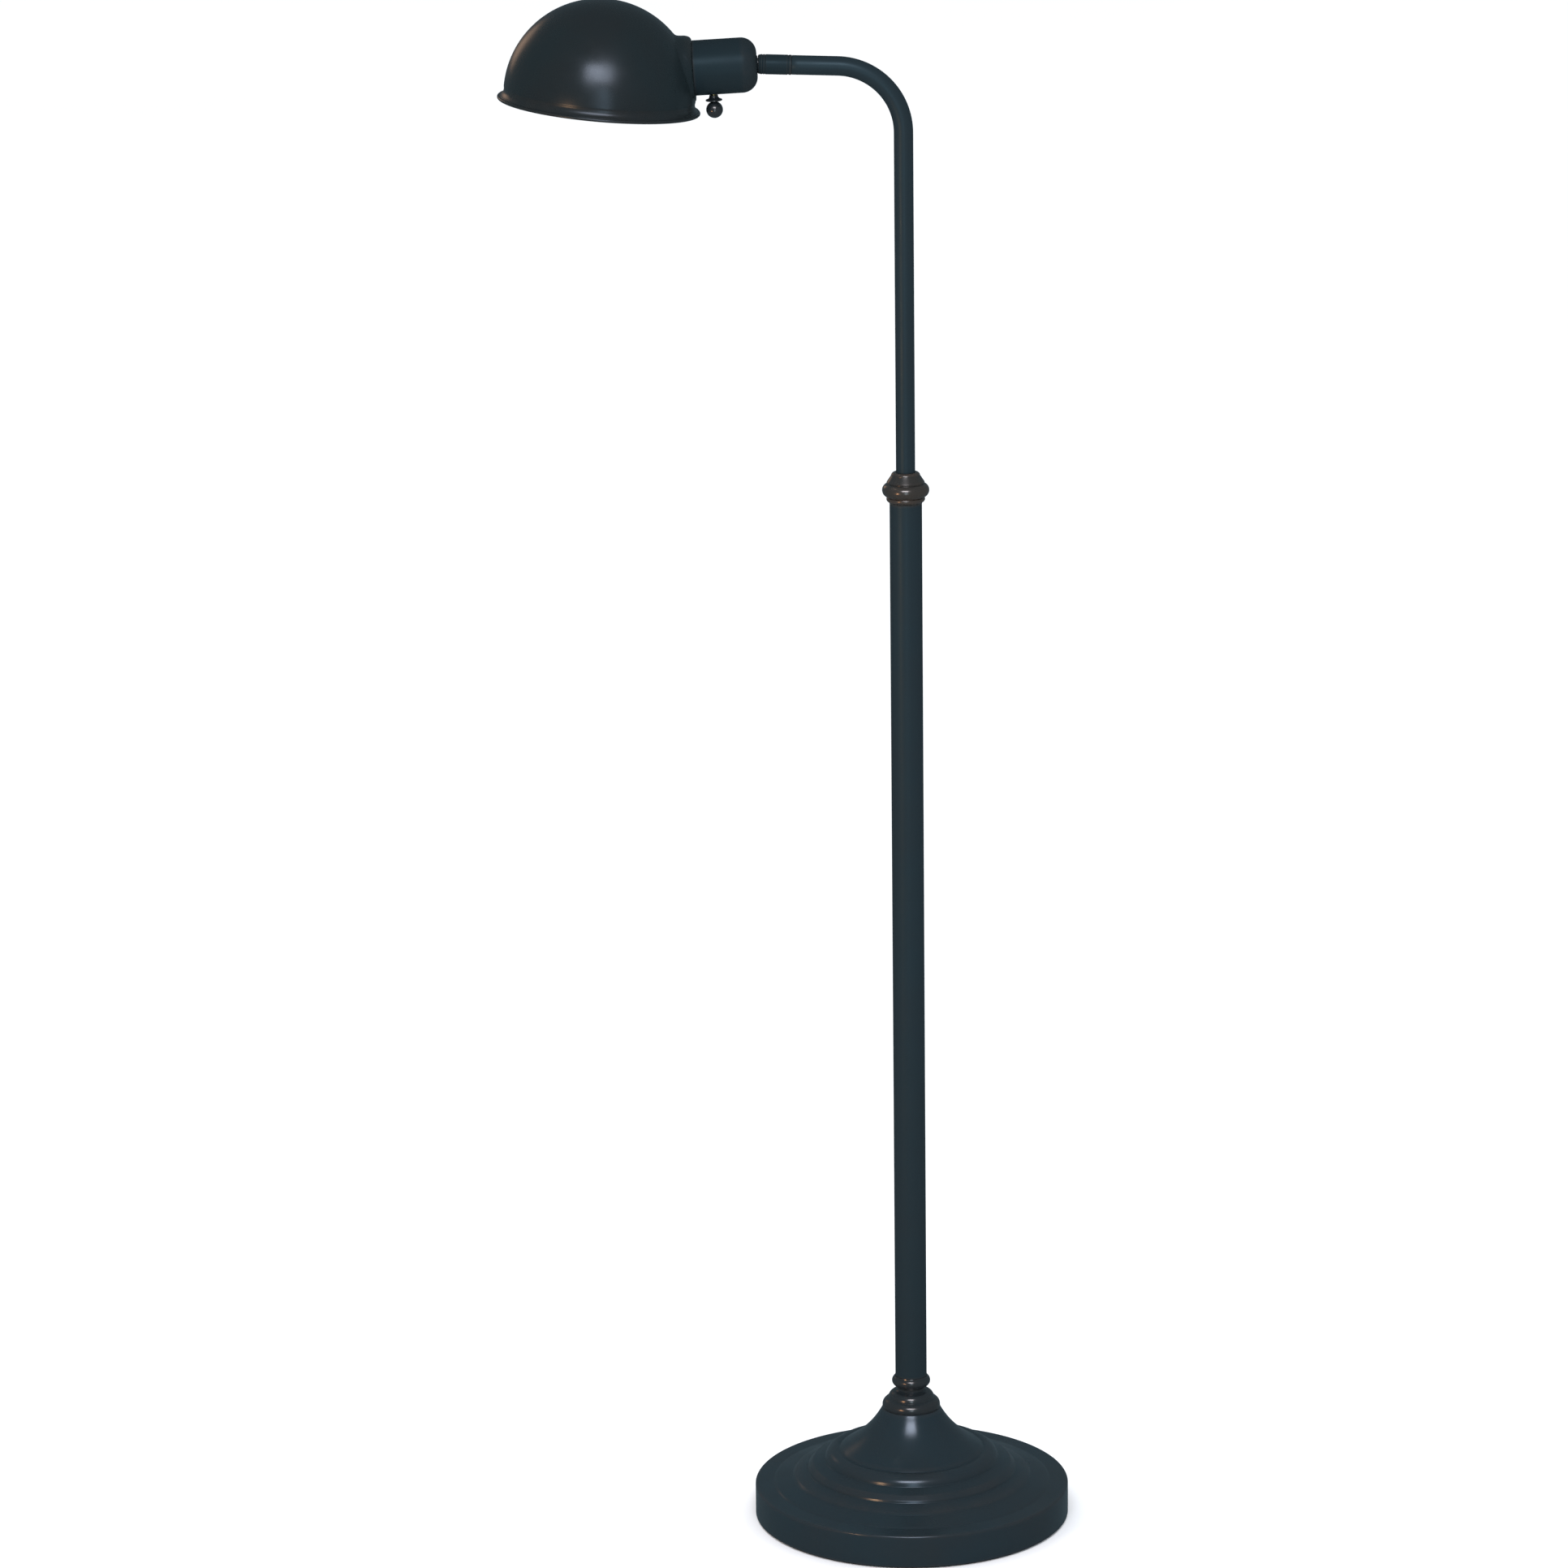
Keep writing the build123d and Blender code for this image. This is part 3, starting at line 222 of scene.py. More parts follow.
def spin(name, outline, place, material, around, edge, reach=WEAR_REACH):
    """A closed outline (along, radius), its corners rounded to edge, spun about its frame's X."""
    points = divide(soften(outline, edge), reach)
    wear = wear_along(points, reach)
    rings = len(points)
    verts, faces, worn, index = [], [], [], []
    for i, (x, r) in enumerate(points):
        index.append(len(verts))
        if r < ON_AXIS:
            verts.append(place @ Vector((x * MM, 0, 0)))
            worn.append(wear[i])
            continue
        for k in range(around):
            a = 2 * math.pi * k / around
            verts.append(place @ Vector((x * MM, r * MM * math.cos(a), r * MM * math.sin(a))))
            worn.append(wear[i])
    for i in range(rings):
        j = (i + 1) % rings
        tip_i, tip_j = points[i][1] < ON_AXIS, points[j][1] < ON_AXIS
        if tip_i and tip_j:
            continue
        for k in range(around):
            m = (k + 1) % around
            if tip_i:
                faces.append((index[i], index[j] + m, index[j] + k))
            elif tip_j:
                faces.append((index[i] + k, index[i] + m, index[j]))
            else:
                faces.append((index[i] + k, index[i] + m, index[j] + m, index[j] + k))
    obj = add_mesh(name, verts, faces, worn, [material])
    face_outwards(obj)
    return obj


def stand_for(obj, body, slot, *nodes):
    """The piece moves with the body and takes the place of the CAD nodes."""
    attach(obj, body)
    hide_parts(*nodes)


def turn_piece(name, outline, place, material, role, around, edge, reach=WEAR_REACH):
    """A turned piece in the place of a CAD node. Its role is its body, record slot and node; the
    slot is not used.
    """
    stand_for(spin(name, outline, place, MATERIALS[material], around, edge, reach), *role)


# ================================================================ materials
class Nodes:
    """Short names for making a material's node tree."""

    def __init__(self, name):
        self.material = bpy.data.materials.new(name)
        self.material.use_nodes = True
        self.tree = self.material.node_tree
        self.shader = self.tree.nodes["Principled BSDF"]
        self.place = self.add("ShaderNodeTexCoord").outputs["Object"]

    def add(self, kind, **settings):
        node = self.tree.nodes.new(kind)
        for key, value in settings.items():
            setattr(node, key, value)
        return node

    def link(self, a, b):
        self.tree.links.new(a, b)

    def noise(self, scale, detail=4.0, rough=0.55, stretch=None):
        node = self.add("ShaderNodeTexNoise")
        node.inputs["Scale"].default_value = scale
        node.inputs["Detail"].default_value = detail
        node.inputs["Roughness"].default_value = rough
        vector = self.place
        if stretch is not None:
            mapping = self.add("ShaderNodeMapping")
            mapping.inputs["Scale"].default_value = stretch
            self.link(vector, mapping.inputs["Vector"])
            vector = mapping.outputs["Vector"]
        self.link(vector, node.inputs["Vector"])
        return node.outputs["Fac"]

    def ramp(self, value, low, high, start=0.0, end=1.0):
        node = self.add("ShaderNodeMapRange")
        node.inputs["From Min"].default_value = low
        node.inputs["From Max"].default_value = high
        node.inputs["To Min"].default_value = start
        node.inputs["To Max"].default_value = end
        self.link(value, node.inputs["Value"])
        return node.outputs["Result"]

    def math(self, how, a, b, clamp=False):
        node = self.add("ShaderNodeMath", operation=how, use_clamp=clamp)
        for socket, value in zip(node.inputs, (a, b)):
            if isinstance(value, (int, float)):
                socket.default_value = value
            else:
                self.link(value, socket)
        return node.outputs["Value"]

    def mix(self, factor, a, b):
        node = self.add("ShaderNodeMix", data_type="RGBA")
        self.link(factor, node.inputs["Factor"])
        for socket, value in ((node.inputs["A"], a), (node.inputs["B"], b)):
            if isinstance(value, tuple):
                socket.default_value = (*value, 1.0)
            else:
                self.link(value, socket)
        return node.outputs["Result"]

    def set(self, **values):
        """Sets or links sockets of the shader, named with _ for each space."""
        for key, value in values.items():
            socket = self.shader.inputs[key.replace("_", " ")]
            if isinstance(value, tuple):
                socket.default_value = (*value, 1.0)
            elif isinstance(value, (int, float)):
                socket.default_value = value
            else:
                self.link(value, socket)

    def bump(self, height, strength, distance):
        node = self.add("ShaderNodeBump")
        node.inputs["Strength"].default_value = strength
        node.inputs["Distance"].default_value = distance
        self.link(height, node.inputs["Height"])
        self.link(node.outputs["Normal"], self.shader.inputs["Normal"])


def bronze(name, dark, brown, rub, roughness, specular, tint):
    """Oil-rubbed bronze: a dark lacquer, brown where it thins and copper where it is rubbed."""
    n = Nodes(name)
    cloud = n.ramp(n.noise(scale=14.0, detail=5.0, rough=0.6), low=0.35, high=0.7)
    colour = n.mix(cloud, dark, brown)
    worn = n.add("ShaderNodeAttribute", attribute_name="wear").outputs["Fac"]
    patches = n.noise(scale=60.0, detail=6.0, rough=0.65)
    patchy = n.ramp(patches, low=0.3, high=0.7, start=0.25, end=1.0)
    amount = n.math("MULTIPLY", n.math("MULTIPLY", worn, patchy), rub, clamp=True)
    colour = n.mix(amount, colour, COPPER)
    specks = n.noise(scale=900.0, detail=3.0, rough=0.7)
    colour = n.mix(n.ramp(specks, low=0.62, high=0.8, start=0.0, end=0.12), colour, brown)
    fine = n.noise(scale=420.0, detail=5.0, rough=0.6)
    haze = n.noise(scale=35.0, detail=5.0, rough=0.6)
    gloss = n.ramp(haze, low=0.3, high=0.75, start=roughness - 0.05, end=roughness + 0.07)
    n.set(Base_Color=colour, Roughness=gloss, Metallic=0.0)
    n.set(Specular_IOR_Level=specular, Specular_Tint=tint)
    n.bump(fine, strength=0.12, distance=0.00012)
    return n.material


def plain(name, colour, other, roughness, scale, grain, depth, metallic):
    """A finish with a little drift in its colour and gloss and a fine grain in its surface."""
    n = Nodes(name)
    drift = n.ramp(n.noise(scale, detail=5.0, rough=0.6), low=0.3, high=0.7)
    haze = n.noise(scale * 2.3, detail=4.0)
    gloss = n.ramp(haze, low=0.3, high=0.7, start=roughness - 0.06, end=roughness + 0.08)
    n.set(Base_Color=n.mix(drift, colour, other), Roughness=gloss, Metallic=metallic)
    n.set(Specular_IOR_Level=0.5)
    n.bump(n.noise(grain, detail=4.0, rough=0.65), strength=0.35, distance=depth)
    return n.material


def felt_cloth():
    """Pressed felt: matted fibres that lie every way, with lint and a soft sheen."""
    n = Nodes("felt")
    fibre_a = n.noise(scale=700.0, detail=6.0, rough=0.75, stretch=(1.0, 0.18, 1.0))
    fibre_b = n.noise(scale=700.0, detail=6.0, rough=0.75, stretch=(0.18, 1.0, 1.0))
    fibres = n.math("ADD", fibre_a, fibre_b)
    lint = n.ramp(fibres, low=0.9, high=1.25)
    n.set(Base_Color=n.mix(lint, (0.006, 0.007, 0.008), (0.03, 0.032, 0.035)))
    n.set(Roughness=0.95, Sheen_Weight=0.35, Sheen_Roughness=0.5, Specular_IOR_Level=0.2)
    n.bump(fibres, strength=0.7, distance=0.0005)
    return n.material


def frosted_glass():
    """The bulb's glass, white inside, with a faint cloud in its coating."""
    n = Nodes("frosted_glass")
    cloud = n.ramp(n.noise(scale=40.0), low=0.3, high=0.7)
    n.set(Base_Color=n.mix(cloud, (0.64, 0.63, 0.59), (0.70, 0.69, 0.655)))
    n.set(Roughness=0.22, Specular_IOR_Level=0.5, Subsurface_Weight=0.25, Subsurface_Scale=0.004)
    n.set(Coat_Weight=0.6, Coat_Roughness=0.06)
    n.bump(n.noise(scale=300.0, detail=3.0), strength=0.05, distance=0.00005)
    return n.material


def white_lining():
    """Baked white enamel inside the shade."""
    n = Nodes("white_lining")
    drift = n.ramp(n.noise(scale=30.0, detail=5.0), low=0.3, high=0.7)
    gloss = n.ramp(n.noise(scale=80.0), low=0.3, high=0.7, start=0.34, end=0.46)
    n.set(Base_Color=n.mix(drift, (0.56, 0.55, 0.52), (0.62, 0.61, 0.585)))
    n.set(Roughness=gloss, Specular_IOR_Level=0.5)
    n.bump(n.noise(scale=650.0, detail=3.0, rough=0.5), strength=0.25, distance=0.00008)
    return n.material


COPPER = (0.12, 0.068, 0.038)
COOL = (0.62, 0.9, 1.0)
NEUTRAL = (0.85, 0.92, 1.0)
WARM = (1.0, 0.9, 0.82)
# name: dark, brown, rub, roughness, specular level, tint of its reflections
BRONZES = {
    "bronze_base": (
        (0.0103, 0.0186, 0.0235), (0.0125, 0.0176, 0.0205), 0.05, 0.22, 0.55, NEUTRAL),
    "bronze_tube": (
        (0.0108, 0.0190, 0.0238), (0.0120, 0.0178, 0.0215), 0.1, 0.38, 0.22, COOL),
    "bronze_shade": (
        (0.0080, 0.0130, 0.0145), (0.0098, 0.0118, 0.0124), 0.14, 0.28, 0.4, NEUTRAL),
    "bronze_turned": (
        (0.0100, 0.0140, 0.0165), (0.0210, 0.0180, 0.0150), 0.2, 0.22, 1.0, WARM),
    "bronze_cup": (
        (0.0088, 0.0158, 0.0195), (0.0100, 0.0150, 0.0178), 0.1, 0.4, 0.09, COOL),
    "bronze_neck": (
        (0.0095, 0.0140, 0.0170), (0.0120, 0.0140, 0.0155), 0.05, 0.2, 0.9, WARM),
}
# name: colour, other colour, roughness, drift scale, grain scale, grain depth, metallic
PLAIN_FINISHES = {
    "cast_weight": ((0.05, 0.05, 0.052), (0.09, 0.085, 0.08), 0.7, 25.0, 260.0, 0.0008, 0.0),
    "black_rubber": ((0.012, 0.012, 0.013), (0.02, 0.02, 0.021), 0.6, 90.0, 800.0, 0.0002, 0.0),
    "zinc_steel": ((0.55, 0.55, 0.52), (0.66, 0.65, 0.6), 0.32, 120.0, 900.0, 0.0001, 1.0),
    "brass": ((0.72, 0.52, 0.22), (0.6, 0.4, 0.16), 0.28, 90.0, 900.0, 0.0001, 1.0),
    "nylon": ((0.76, 0.74, 0.66), (0.7, 0.68, 0.6), 0.48, 70.0, 600.0, 0.0001, 0.0),
    "phenolic": ((0.014, 0.012, 0.011), (0.024, 0.02, 0.018), 0.35, 80.0, 700.0, 0.0001, 0.0),
    "aluminium_cap": ((0.74, 0.74, 0.75), (0.66, 0.66, 0.68), 0.3, 100.0, 900.0, 0.0001, 1.0),
}
MATERIALS = {name: bronze(name, *values) for name, values in BRONZES.items()}
MATERIALS.update({name: plain(name, *values) for name, values in PLAIN_FINISHES.items()})
MATERIALS["felt"] = felt_cloth()
MATERIALS["frosted_glass"] = frosted_glass()
LINING = white_lining()

# Every CAD node gets its slot's material, and those that the pieces below replace are hidden.
for part in frame["record"]["subparts"]:
    node = frame["nodes"][part["node"]]
    node.data.materials.clear()
    node.data.materials.append(MATERIALS[part["material_slot"]])


# ================================================================ base and lower pole
CONE_TOP = 91.0  # heights of the joint lines up the pole
SEAT_TOP = 108.4
RING_TOP = 118.2
FERRULE_TOP = 844.7


def make_base():
    """The spun cover with its rounded rim, steps, bead and concave cone, as one thin shell."""
    rim = BASE_R
    outline = trace(
        (1.5, rim - 1.5), (1.5, rim), (26.2, rim), ("arc", (27.2, 126.5), (27.6, 125.5)),
        (28.4, 112.2), (29.2, 111.0), (33.4, 96.6), (35.0, 95.0), (39.2, 84.6), (41.0, 84.0),
        (44.4, 80.5), (47.6, 70.6), ("arc", (53.4, 67.4), (55.4, 58.6)), (56.9, 57.4),
        ("arc", (71.8, 37.4), (CONE_TOP, 23.4)), (CONE_TOP, 5.2), (89.0, 5.2), (89.0, 21.0),
        ("arc", (70.0, 36.0), (54.0, 56.4)), (51.4, 65.4), (45.7, 69.4), (42.6, 79.8),
        (39.4, 82.4), (36.8, 85.4), (33.0, 95.2), (31.2, 97.2), (27.0, 103.0), (27.0, 110.0),
        (26.7, 111.4), (25.4, rim - 1.5),
    )
    role = ("base", "bronze_base", "base_shell")
    turn_piece("base_cover", outline, POLE, "bronze_base", role, around=256, edge=0.9)


def make_neck():
    """The turned seat on the cone and the ring at the pole's foot."""
    bore = 4.9
    finish = {"around": 128, "edge": 0.15, "reach": 1.2}
    seat = trace(
        (CONE_TOP, bore), (CONE_TOP, 22.9), ("arc", (94.6, 23.2), (98.2, 20.4)), (99.0, 18.6),
        ("arc", (102.6, 17.4), (105.2, 12.6)), (106.2, 11.2), (SEAT_TOP, 11.2), (SEAT_TOP, bore),
    )
    role = ("base", "bronze_turned", "neck_seat")
    turn_piece("turned_seat", seat, POLE, "bronze_neck", role, **finish)
    ring = trace(
        (SEAT_TOP, bore), (SEAT_TOP, 12.0), (109.4, 12.4), ("arc", (113.4, 15.5), (117.4, 13.4)),
        (RING_TOP, 13.2), (RING_TOP, bore),
    )
    role = ("base", "bronze_turned", "foot_ring")
    turn_piece("pole_foot_ring", ring, POLE, "bronze_neck", role, **finish)


def make_lower_pole():
    """The lower tube and the ring on its top, with the sleeve that the collar screws onto."""
    low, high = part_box("lower_tube")
    foot, top = low.z / MM, high.z / MM
    r = high.x / MM
    wall = 1.2
    outline = [(foot, r), (top, r), (top, r - wall), (foot, r - wall)]
    role = ("base", "bronze_tube", "lower_tube")
    turn_piece("lower_pole", outline, POLE, "bronze_tube", role, around=96, edge=0.25)
    bore, sleeve_r, sleeve_top = 9.3, 12.0, 855.0
    ferrule = trace(
        (828.0, bore), (828.0, 11.4), (839.6, 11.4), (839.6, 12.8), (840.8, 13.0),
        ("arc", (842.7, 15.1), (844.4, 14.9)), (FERRULE_TOP, 14.6), (FERRULE_TOP, sleeve_r),
        (sleeve_top, sleeve_r), (sleeve_top, bore),
    )
    role = ("base", "bronze_turned", "clamp_ferrule")
    turn_piece("pole_top_ring", ferrule, POLE, "bronze_turned", role, around=96, edge=0.15)


def make_collar():
    """The turned collar that is screwed by hand to clamp the upper pole."""
    collar = trace(
        (844.8, 12.1), (844.8, 14.9), (845.3, 15.5), ("arc", (850.3, 18.5), (855.2, 15.6)),
        (855.6, 14.5), (856.8, 14.9), (862.0, 11.4), ("arc", (863.9, 10.5), (864.6, 8.6)),
        (864.6, 7.8), (863.0, 7.8), (856.8, 11.5), (856.0, 12.1),
    )
    role = ("clamp_collar", "bronze_turned", "clamp_collar")
    turn_piece("clamp_nut", collar, POLE, "bronze_turned", role, around=128, edge=0.15)


# ================================================================ upper pole
def make_upper_pole():
    """The upper tube, swept from its foot up the pole, round the bend and out along the arm."""
    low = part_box("upper_tube")[0]
    radius, wall, bend = 7.5 * MM, 1.0 * MM, 52.0 * MM
    pole_steps, bend_steps, arm_steps, around = 18, 32, 6, 80
    crossing = ARM_END + ARM_DIRECTION * (ARM_END.x / -ARM_DIRECTION.x)
    up = Vector((0, 0, 1))
    corner = up.angle(ARM_DIRECTION)
    setback = bend * math.tan(corner / 2)
    start = crossing - up * setback
    middle = start + Vector((-bend, 0, 0))
    climb = start.z - low.z
    path = [(Vector((0, 0, low.z + climb * k / pole_steps)), up) for k in range(pole_steps)]
    for k in range(bend_steps + 1):
        a = corner * k / bend_steps
        out = Vector((math.cos(a), 0, math.sin(a)))
        path.append((middle + out * bend, Vector((-math.sin(a), 0, math.cos(a)))))
    last = path[-1][0]
    arm = [(last.lerp(ARM_END, k / arm_steps), ARM_DIRECTION) for k in range(1, arm_steps + 1)]
    path += arm
    rings = [(p, t, radius) for p, t in path]
    edge = 0.3 * MM
    end, direction = path[-1]
    rings[-1] = (end - direction * edge, direction, radius)
    rings.append((end, direction, radius - edge))
    rings += [(p, t, radius - wall) for p, t in reversed(path)]
    verts, faces = [], []
    side = Vector((0, 1, 0))
    for p, t, r in rings:
        across = t.cross(side)
        for k in range(around):
            a = 2 * math.pi * k / around
            verts.append(p + side * (r * math.cos(a)) + across * (r * math.sin(a)))
    count = len(rings)
    for i in range(count):
        j = (i + 1) % count
        for k in range(around):
            m = (k + 1) % around
            faces.append((i * around + k, i * around + m, j * around + m, j * around + k))
    no_wear = [0.0] * len(verts)
    tube = add_mesh("upper_pole_and_arm", verts, faces, no_wear, [MATERIALS["bronze_tube"]])
    face_outwards(tube)
    stand_for(tube, "upper_pole", "bronze_tube", "upper_tube")


def make_barrel():
    """The swivel's sleeve, with a pair of fine beads by the cup and a groove by the arm."""
    r = 7.7
    sleeve = trace(
        (0.05, 5.3), (0.05, r - 0.25), (0.35, r), (2.0, r), (2.3, r - 0.3), (2.9, r - 0.3),
        (3.2, r), (20.0, r), (20.3, r - 0.35), ("arc", (21.3, r), (22.3, r - 0.35)),
        ("arc", (23.3, r), (24.3, r - 0.35)), (24.8, r - 0.2), (25.6, 7.2), (26.1, 6.3),
        (26.1, 5.7), (14.0, 5.7), (14.0, 6.5), (4.6, 6.5), (4.6, 5.3),
    )
    role = ("head", "bronze_turned", "swivel_barrel")
    finish = {"around": 80, "edge": 0.2, "reach": 0.8}
    turn_piece("swivel_sleeve", sleeve, ARM, "bronze_cup", role, **finish)


# ================================================================ head
CUP_MOUTH = 49.5  # how far along the cup's axis its mouth and the neck's end face are


def make_cup():
    """The socket cup: closed and rounded at the swivel, with a softened edge at its mouth."""
    r, wall, end_round = 21.2, 1.2, 12.0
    face, boss, hole_r = 0.3, -0.3, 5.2
    inner = end_round - wall
    dip, inner_dip = end_round * (1 - DIAGONAL), inner * (1 - DIAGONAL)
    cup = trace(
        (boss, hole_r), (boss, 6.2), (face, 7.0), (face, r - end_round),
        ("arc", (face + dip, r - dip), (face + end_round, r)),
        (CUP_MOUTH - 0.4, r), (CUP_MOUTH, r - 0.4), (CUP_MOUTH, r - wall),
        (face + end_round, r - wall),
        ("arc", (face + wall + inner_dip, r - wall - inner_dip), (face + wall, r - end_round)),
        (face + wall, hole_r),
    )
    role = ("head", "bronze_shade", "socket_cup")
    turn_piece("lamp_cup", cup, CUP, "bronze_cup", role, around=128, edge=0.4)


def make_knob():
    """Stem, flange and ball, turned in one piece."""
    ball_r, ball_v, neck_r = 6.5, 33.0, 2.6
    neck_v = ball_v - math.sqrt(ball_r**2 - neck_r**2)
    knob = trace(
        (21.7, 2.1), (21.7, 3.4), ("arc", (23.3, 3.6), (24.8, 5.8)), (25.2, 6.4), (26.0, 6.4),
        (26.3, 5.6), ("arc", (26.6, 3.6), (neck_v, neck_r)),
        ("arc", (ball_v, ball_r), (ball_v + ball_r, 0.0)), (27.0, 0.0), (27.0, 2.1),
    )
    role = ("switch_knob", "bronze_turned", "switch_knob")
    finish = {"around": 96, "edge": 0.2, "reach": 1.0}
    turn_piece("turn_knob", knob, KNOB, "bronze_neck", role, **finish)


def smooth_max(a, b, blend):
    """The larger of two arrays of lengths, rounded over where they are within a blend."""
    h = np.clip(0.5 + 0.5 * (a - b) / blend, 0, 1)
    return b * (1 - h) + a * h + blend * h * (1 - h)


def smooth_min(a, b, blend):
    """The smaller of two arrays of lengths, rounded over in the same way."""
    return -smooth_max(-a, -b, blend)


FINE_STEPS = 4001


def spread(count, low, high, focus, width, gain):
    """Values from low to high, closer together near the focus."""
    t = np.linspace(low, high, FINE_STEPS)
    density = 1 + gain * np.exp(-(((t - focus) / width) ** 2))
    total = np.concatenate([[0], np.cumsum((density[1:] + density[:-1]) / 2)])
    return np.interp(np.linspace(0, total[-1], count), total, t)


def make_shade():
    """The spun half-dome with its raised neck and flared lip, white inside.

    The dome's surface is a distance from its centre for each direction. The neck is a short
    cylinder about the cup's axis that contains that centre, so its surface is one as well.
    The points are given in the shade's own frame, from its centre, with its axis first.
    """
    dome_r, thick, neck_r, face_thick = 74.0, 1.0, 25.4, 1.2
    neck_round, neck_fillet = 9.0, 3.2
    rim_r, drop, bead, lip_top = 78.5, 7.4, 1.3, 1.0
    to_shade = SHADE.inverted()
    axis_point = np.array(to_shade @ (CUP.translation + CUP_DIRECTION * CUP_MOUTH * MM)) / MM
    axis_dir = np.array(to_shade.to_3x3() @ -CUP_DIRECTION)

    def reach(directions, r, nr, face_back):
        """The way to the surface: out to the dome, or to the neck's side or end face."""
        tiny, far, facing = 1e-3, 200, 0.2
        along = directions @ axis_dir
        face_at = axis_point @ axis_dir - face_back
        to_face = np.where(along > tiny, face_at / np.maximum(along, tiny), far)
        across = directions - along[:, None] * axis_dir
        offset = -(axis_point - (axis_point @ axis_dir) * axis_dir)
        a = np.maximum((across**2).sum(1), 1e-9)
        b = across @ offset
        c = (offset**2).sum() - nr**2
        to_side = (-b + np.sqrt(np.maximum(b**2 - a * c, 0))) / a
        neck = smooth_min(np.minimum(to_face, far), np.minimum(to_side, far), neck_round)
        joined = smooth_max(neck, np.full(len(neck), r), neck_fillet)
        return np.where(along > facing, joined, r)

    around, down = 288, 112
    phi = spread(around + 1, -math.pi, math.pi, focus=0.0, width=0.42, gain=3.5)[:-1]
    top = math.acos(lip_top / dome_r)
    theta = spread(down, 0.0, top, focus=1.35, width=0.38, gain=2.0)[1:]

    def shell(r, nr, face_back):
        """Rows of points from the crown down to the lip."""
        rows = []
        for t in theta:
            side = math.sin(t)
            d = np.stack([np.full(around, math.cos(t)), side * np.sin(phi), side * np.cos(phi)], 1)
            rows.append(d * reach(d, r, nr, face_back)[:, None])
        return rows

    def ring(x, r):
        """A row of points on a circle about the shade's axis."""
        return np.stack([np.full(around, x), r * np.sin(phi), r * np.cos(phi)], 1)

    edge_r, plane = rim_r - bead, -drop
    lip_steps, roll_steps, bronze_steps = 12, 18, 12
    outer_foot, inner_foot = (plane + 1.1, edge_r - 0.3), (plane - 0.2, edge_r - bead + 0.1)
    inner_top = (lip_top, dome_r - thick)
    outer_lip = arc((lip_top, dome_r), (-4.6, dome_r + 1.0), outer_foot, lip_steps)
    roll = [
        (plane + bead * math.cos(a), edge_r + bead * math.sin(a))
        for a in np.linspace(-0.5, math.pi + 0.9, roll_steps)
    ]
    inner_lip = arc(inner_foot, (-6.2, dome_r - 0.6), inner_top, lip_steps)
    outer = shell(dome_r, neck_r, 0.0)
    inner = shell(dome_r - thick, neck_r - thick, face_thick)
    rows = outer + [ring(x, r) for x, r in outer_lip + roll + inner_lip] + inner[-2::-1]
    first_inner = len(outer) + len(outer_lip) + bronze_steps
    points = np.concatenate(rows)
    crown = [np.array([[dome_r, 0, 0]]), np.array([[dome_r - thick, 0, 0]])]
    points = np.concatenate([points] + crown) * MM
    verts = [SHADE @ Vector(p) for p in points]
    faces, slots = [], []
    for i in range(len(rows) - 1):
        row, below = i * around, (i + 1) * around
        for k in range(around):
            m = (k + 1) % around
            faces.append((row + k, row + m, below + m, below + k))
            slots.append(0 if i < first_inner else 1)
    top_outer, top_inner = len(rows) * around, len(rows) * around + 1
    last = (len(rows) - 1) * around
    for k in range(around):
        m = (k + 1) % around
        faces.append((k, top_outer, m))
        slots.append(0)
        faces.append((last + k, last + m, top_inner))
        slots.append(1)
    # Wear grows with the height over the dome, up the neck, and is even along the lip.
    neck_rise, neck_run, most_neck, lip_wear = 4.0, 10.0, 0.6, 0.3
    radial = np.linalg.norm(points[: len(rows) * around] / MM, axis=1)
    wear = np.clip((radial - dome_r - neck_rise) / neck_run, 0, most_neck)
    wear[len(outer) * around:first_inner * around] = lip_wear
    wear = np.concatenate([wear, [0, 0]])
    materials = [MATERIALS["bronze_shade"], LINING]
    shade = add_mesh("dome_shade", verts, faces, wear, materials, slots)
    face_outwards(shade)
    cut_hole(shade)
    stand_for(shade, "head", "bronze_shade", "shade")


def cut_hole(shade):
    """Opens the neck's end face for the lampholder, with a seat for the cup's mouth before it."""
    seat_r, hole_r, before, behind = 21.25, 17.4, 45.0, 53.0
    cutter_outline = [
        (before, 0.0), (before, seat_r), (CUP_MOUTH, seat_r), (CUP_MOUTH, hole_r),
        (behind, hole_r), (behind, 0.0),
    ]
    cutter = spin("hole_cutter", cutter_outline, CUP, LINING, around=96, edge=0.001)
    cut = shade.modifiers.new("hole", "BOOLEAN")
    cut.operation = "DIFFERENCE"
    cut.solver = "EXACT"
    cut.object = cutter
    bpy.context.view_layer.update()
    graph = bpy.context.evaluated_depsgraph_get()
    mesh = bpy.data.meshes.new_from_object(shade.evaluated_get(graph))
    shade.modifiers.clear()
    shade.data = mesh
    bpy.data.objects.remove(cutter)


def make_bulb():
    """The bulb's frosted glass, a thin shell. Its cap is the CAD's own."""
    centre, r, inner_r = 111.9, 24.0, 23.3
    side, inner_side = r * DIAGONAL, inner_r * DIAGONAL
    glass = trace(
        (75.0, 12.1), (75.0, 12.8), ("arc", (84.0, 13.9), (93.0, 17.6)),
        ("arc", (102.9, 22.4), (centre, r)),
        ("arc", (centre + side, side), (135.9, 0.0)),
        (135.2, 0.0), ("arc", (centre + inner_side, inner_side), (centre, inner_r)),
        ("arc", (102.9, 21.7), (93.0, 16.9)), ("arc", (84.0, 13.2), (75.0, 12.1)),
    )
    role = ("head", "frosted_glass", "bulb_glass")
    turn_piece("bulb", glass, CUP, "frosted_glass", role, around=96, edge=0.2)


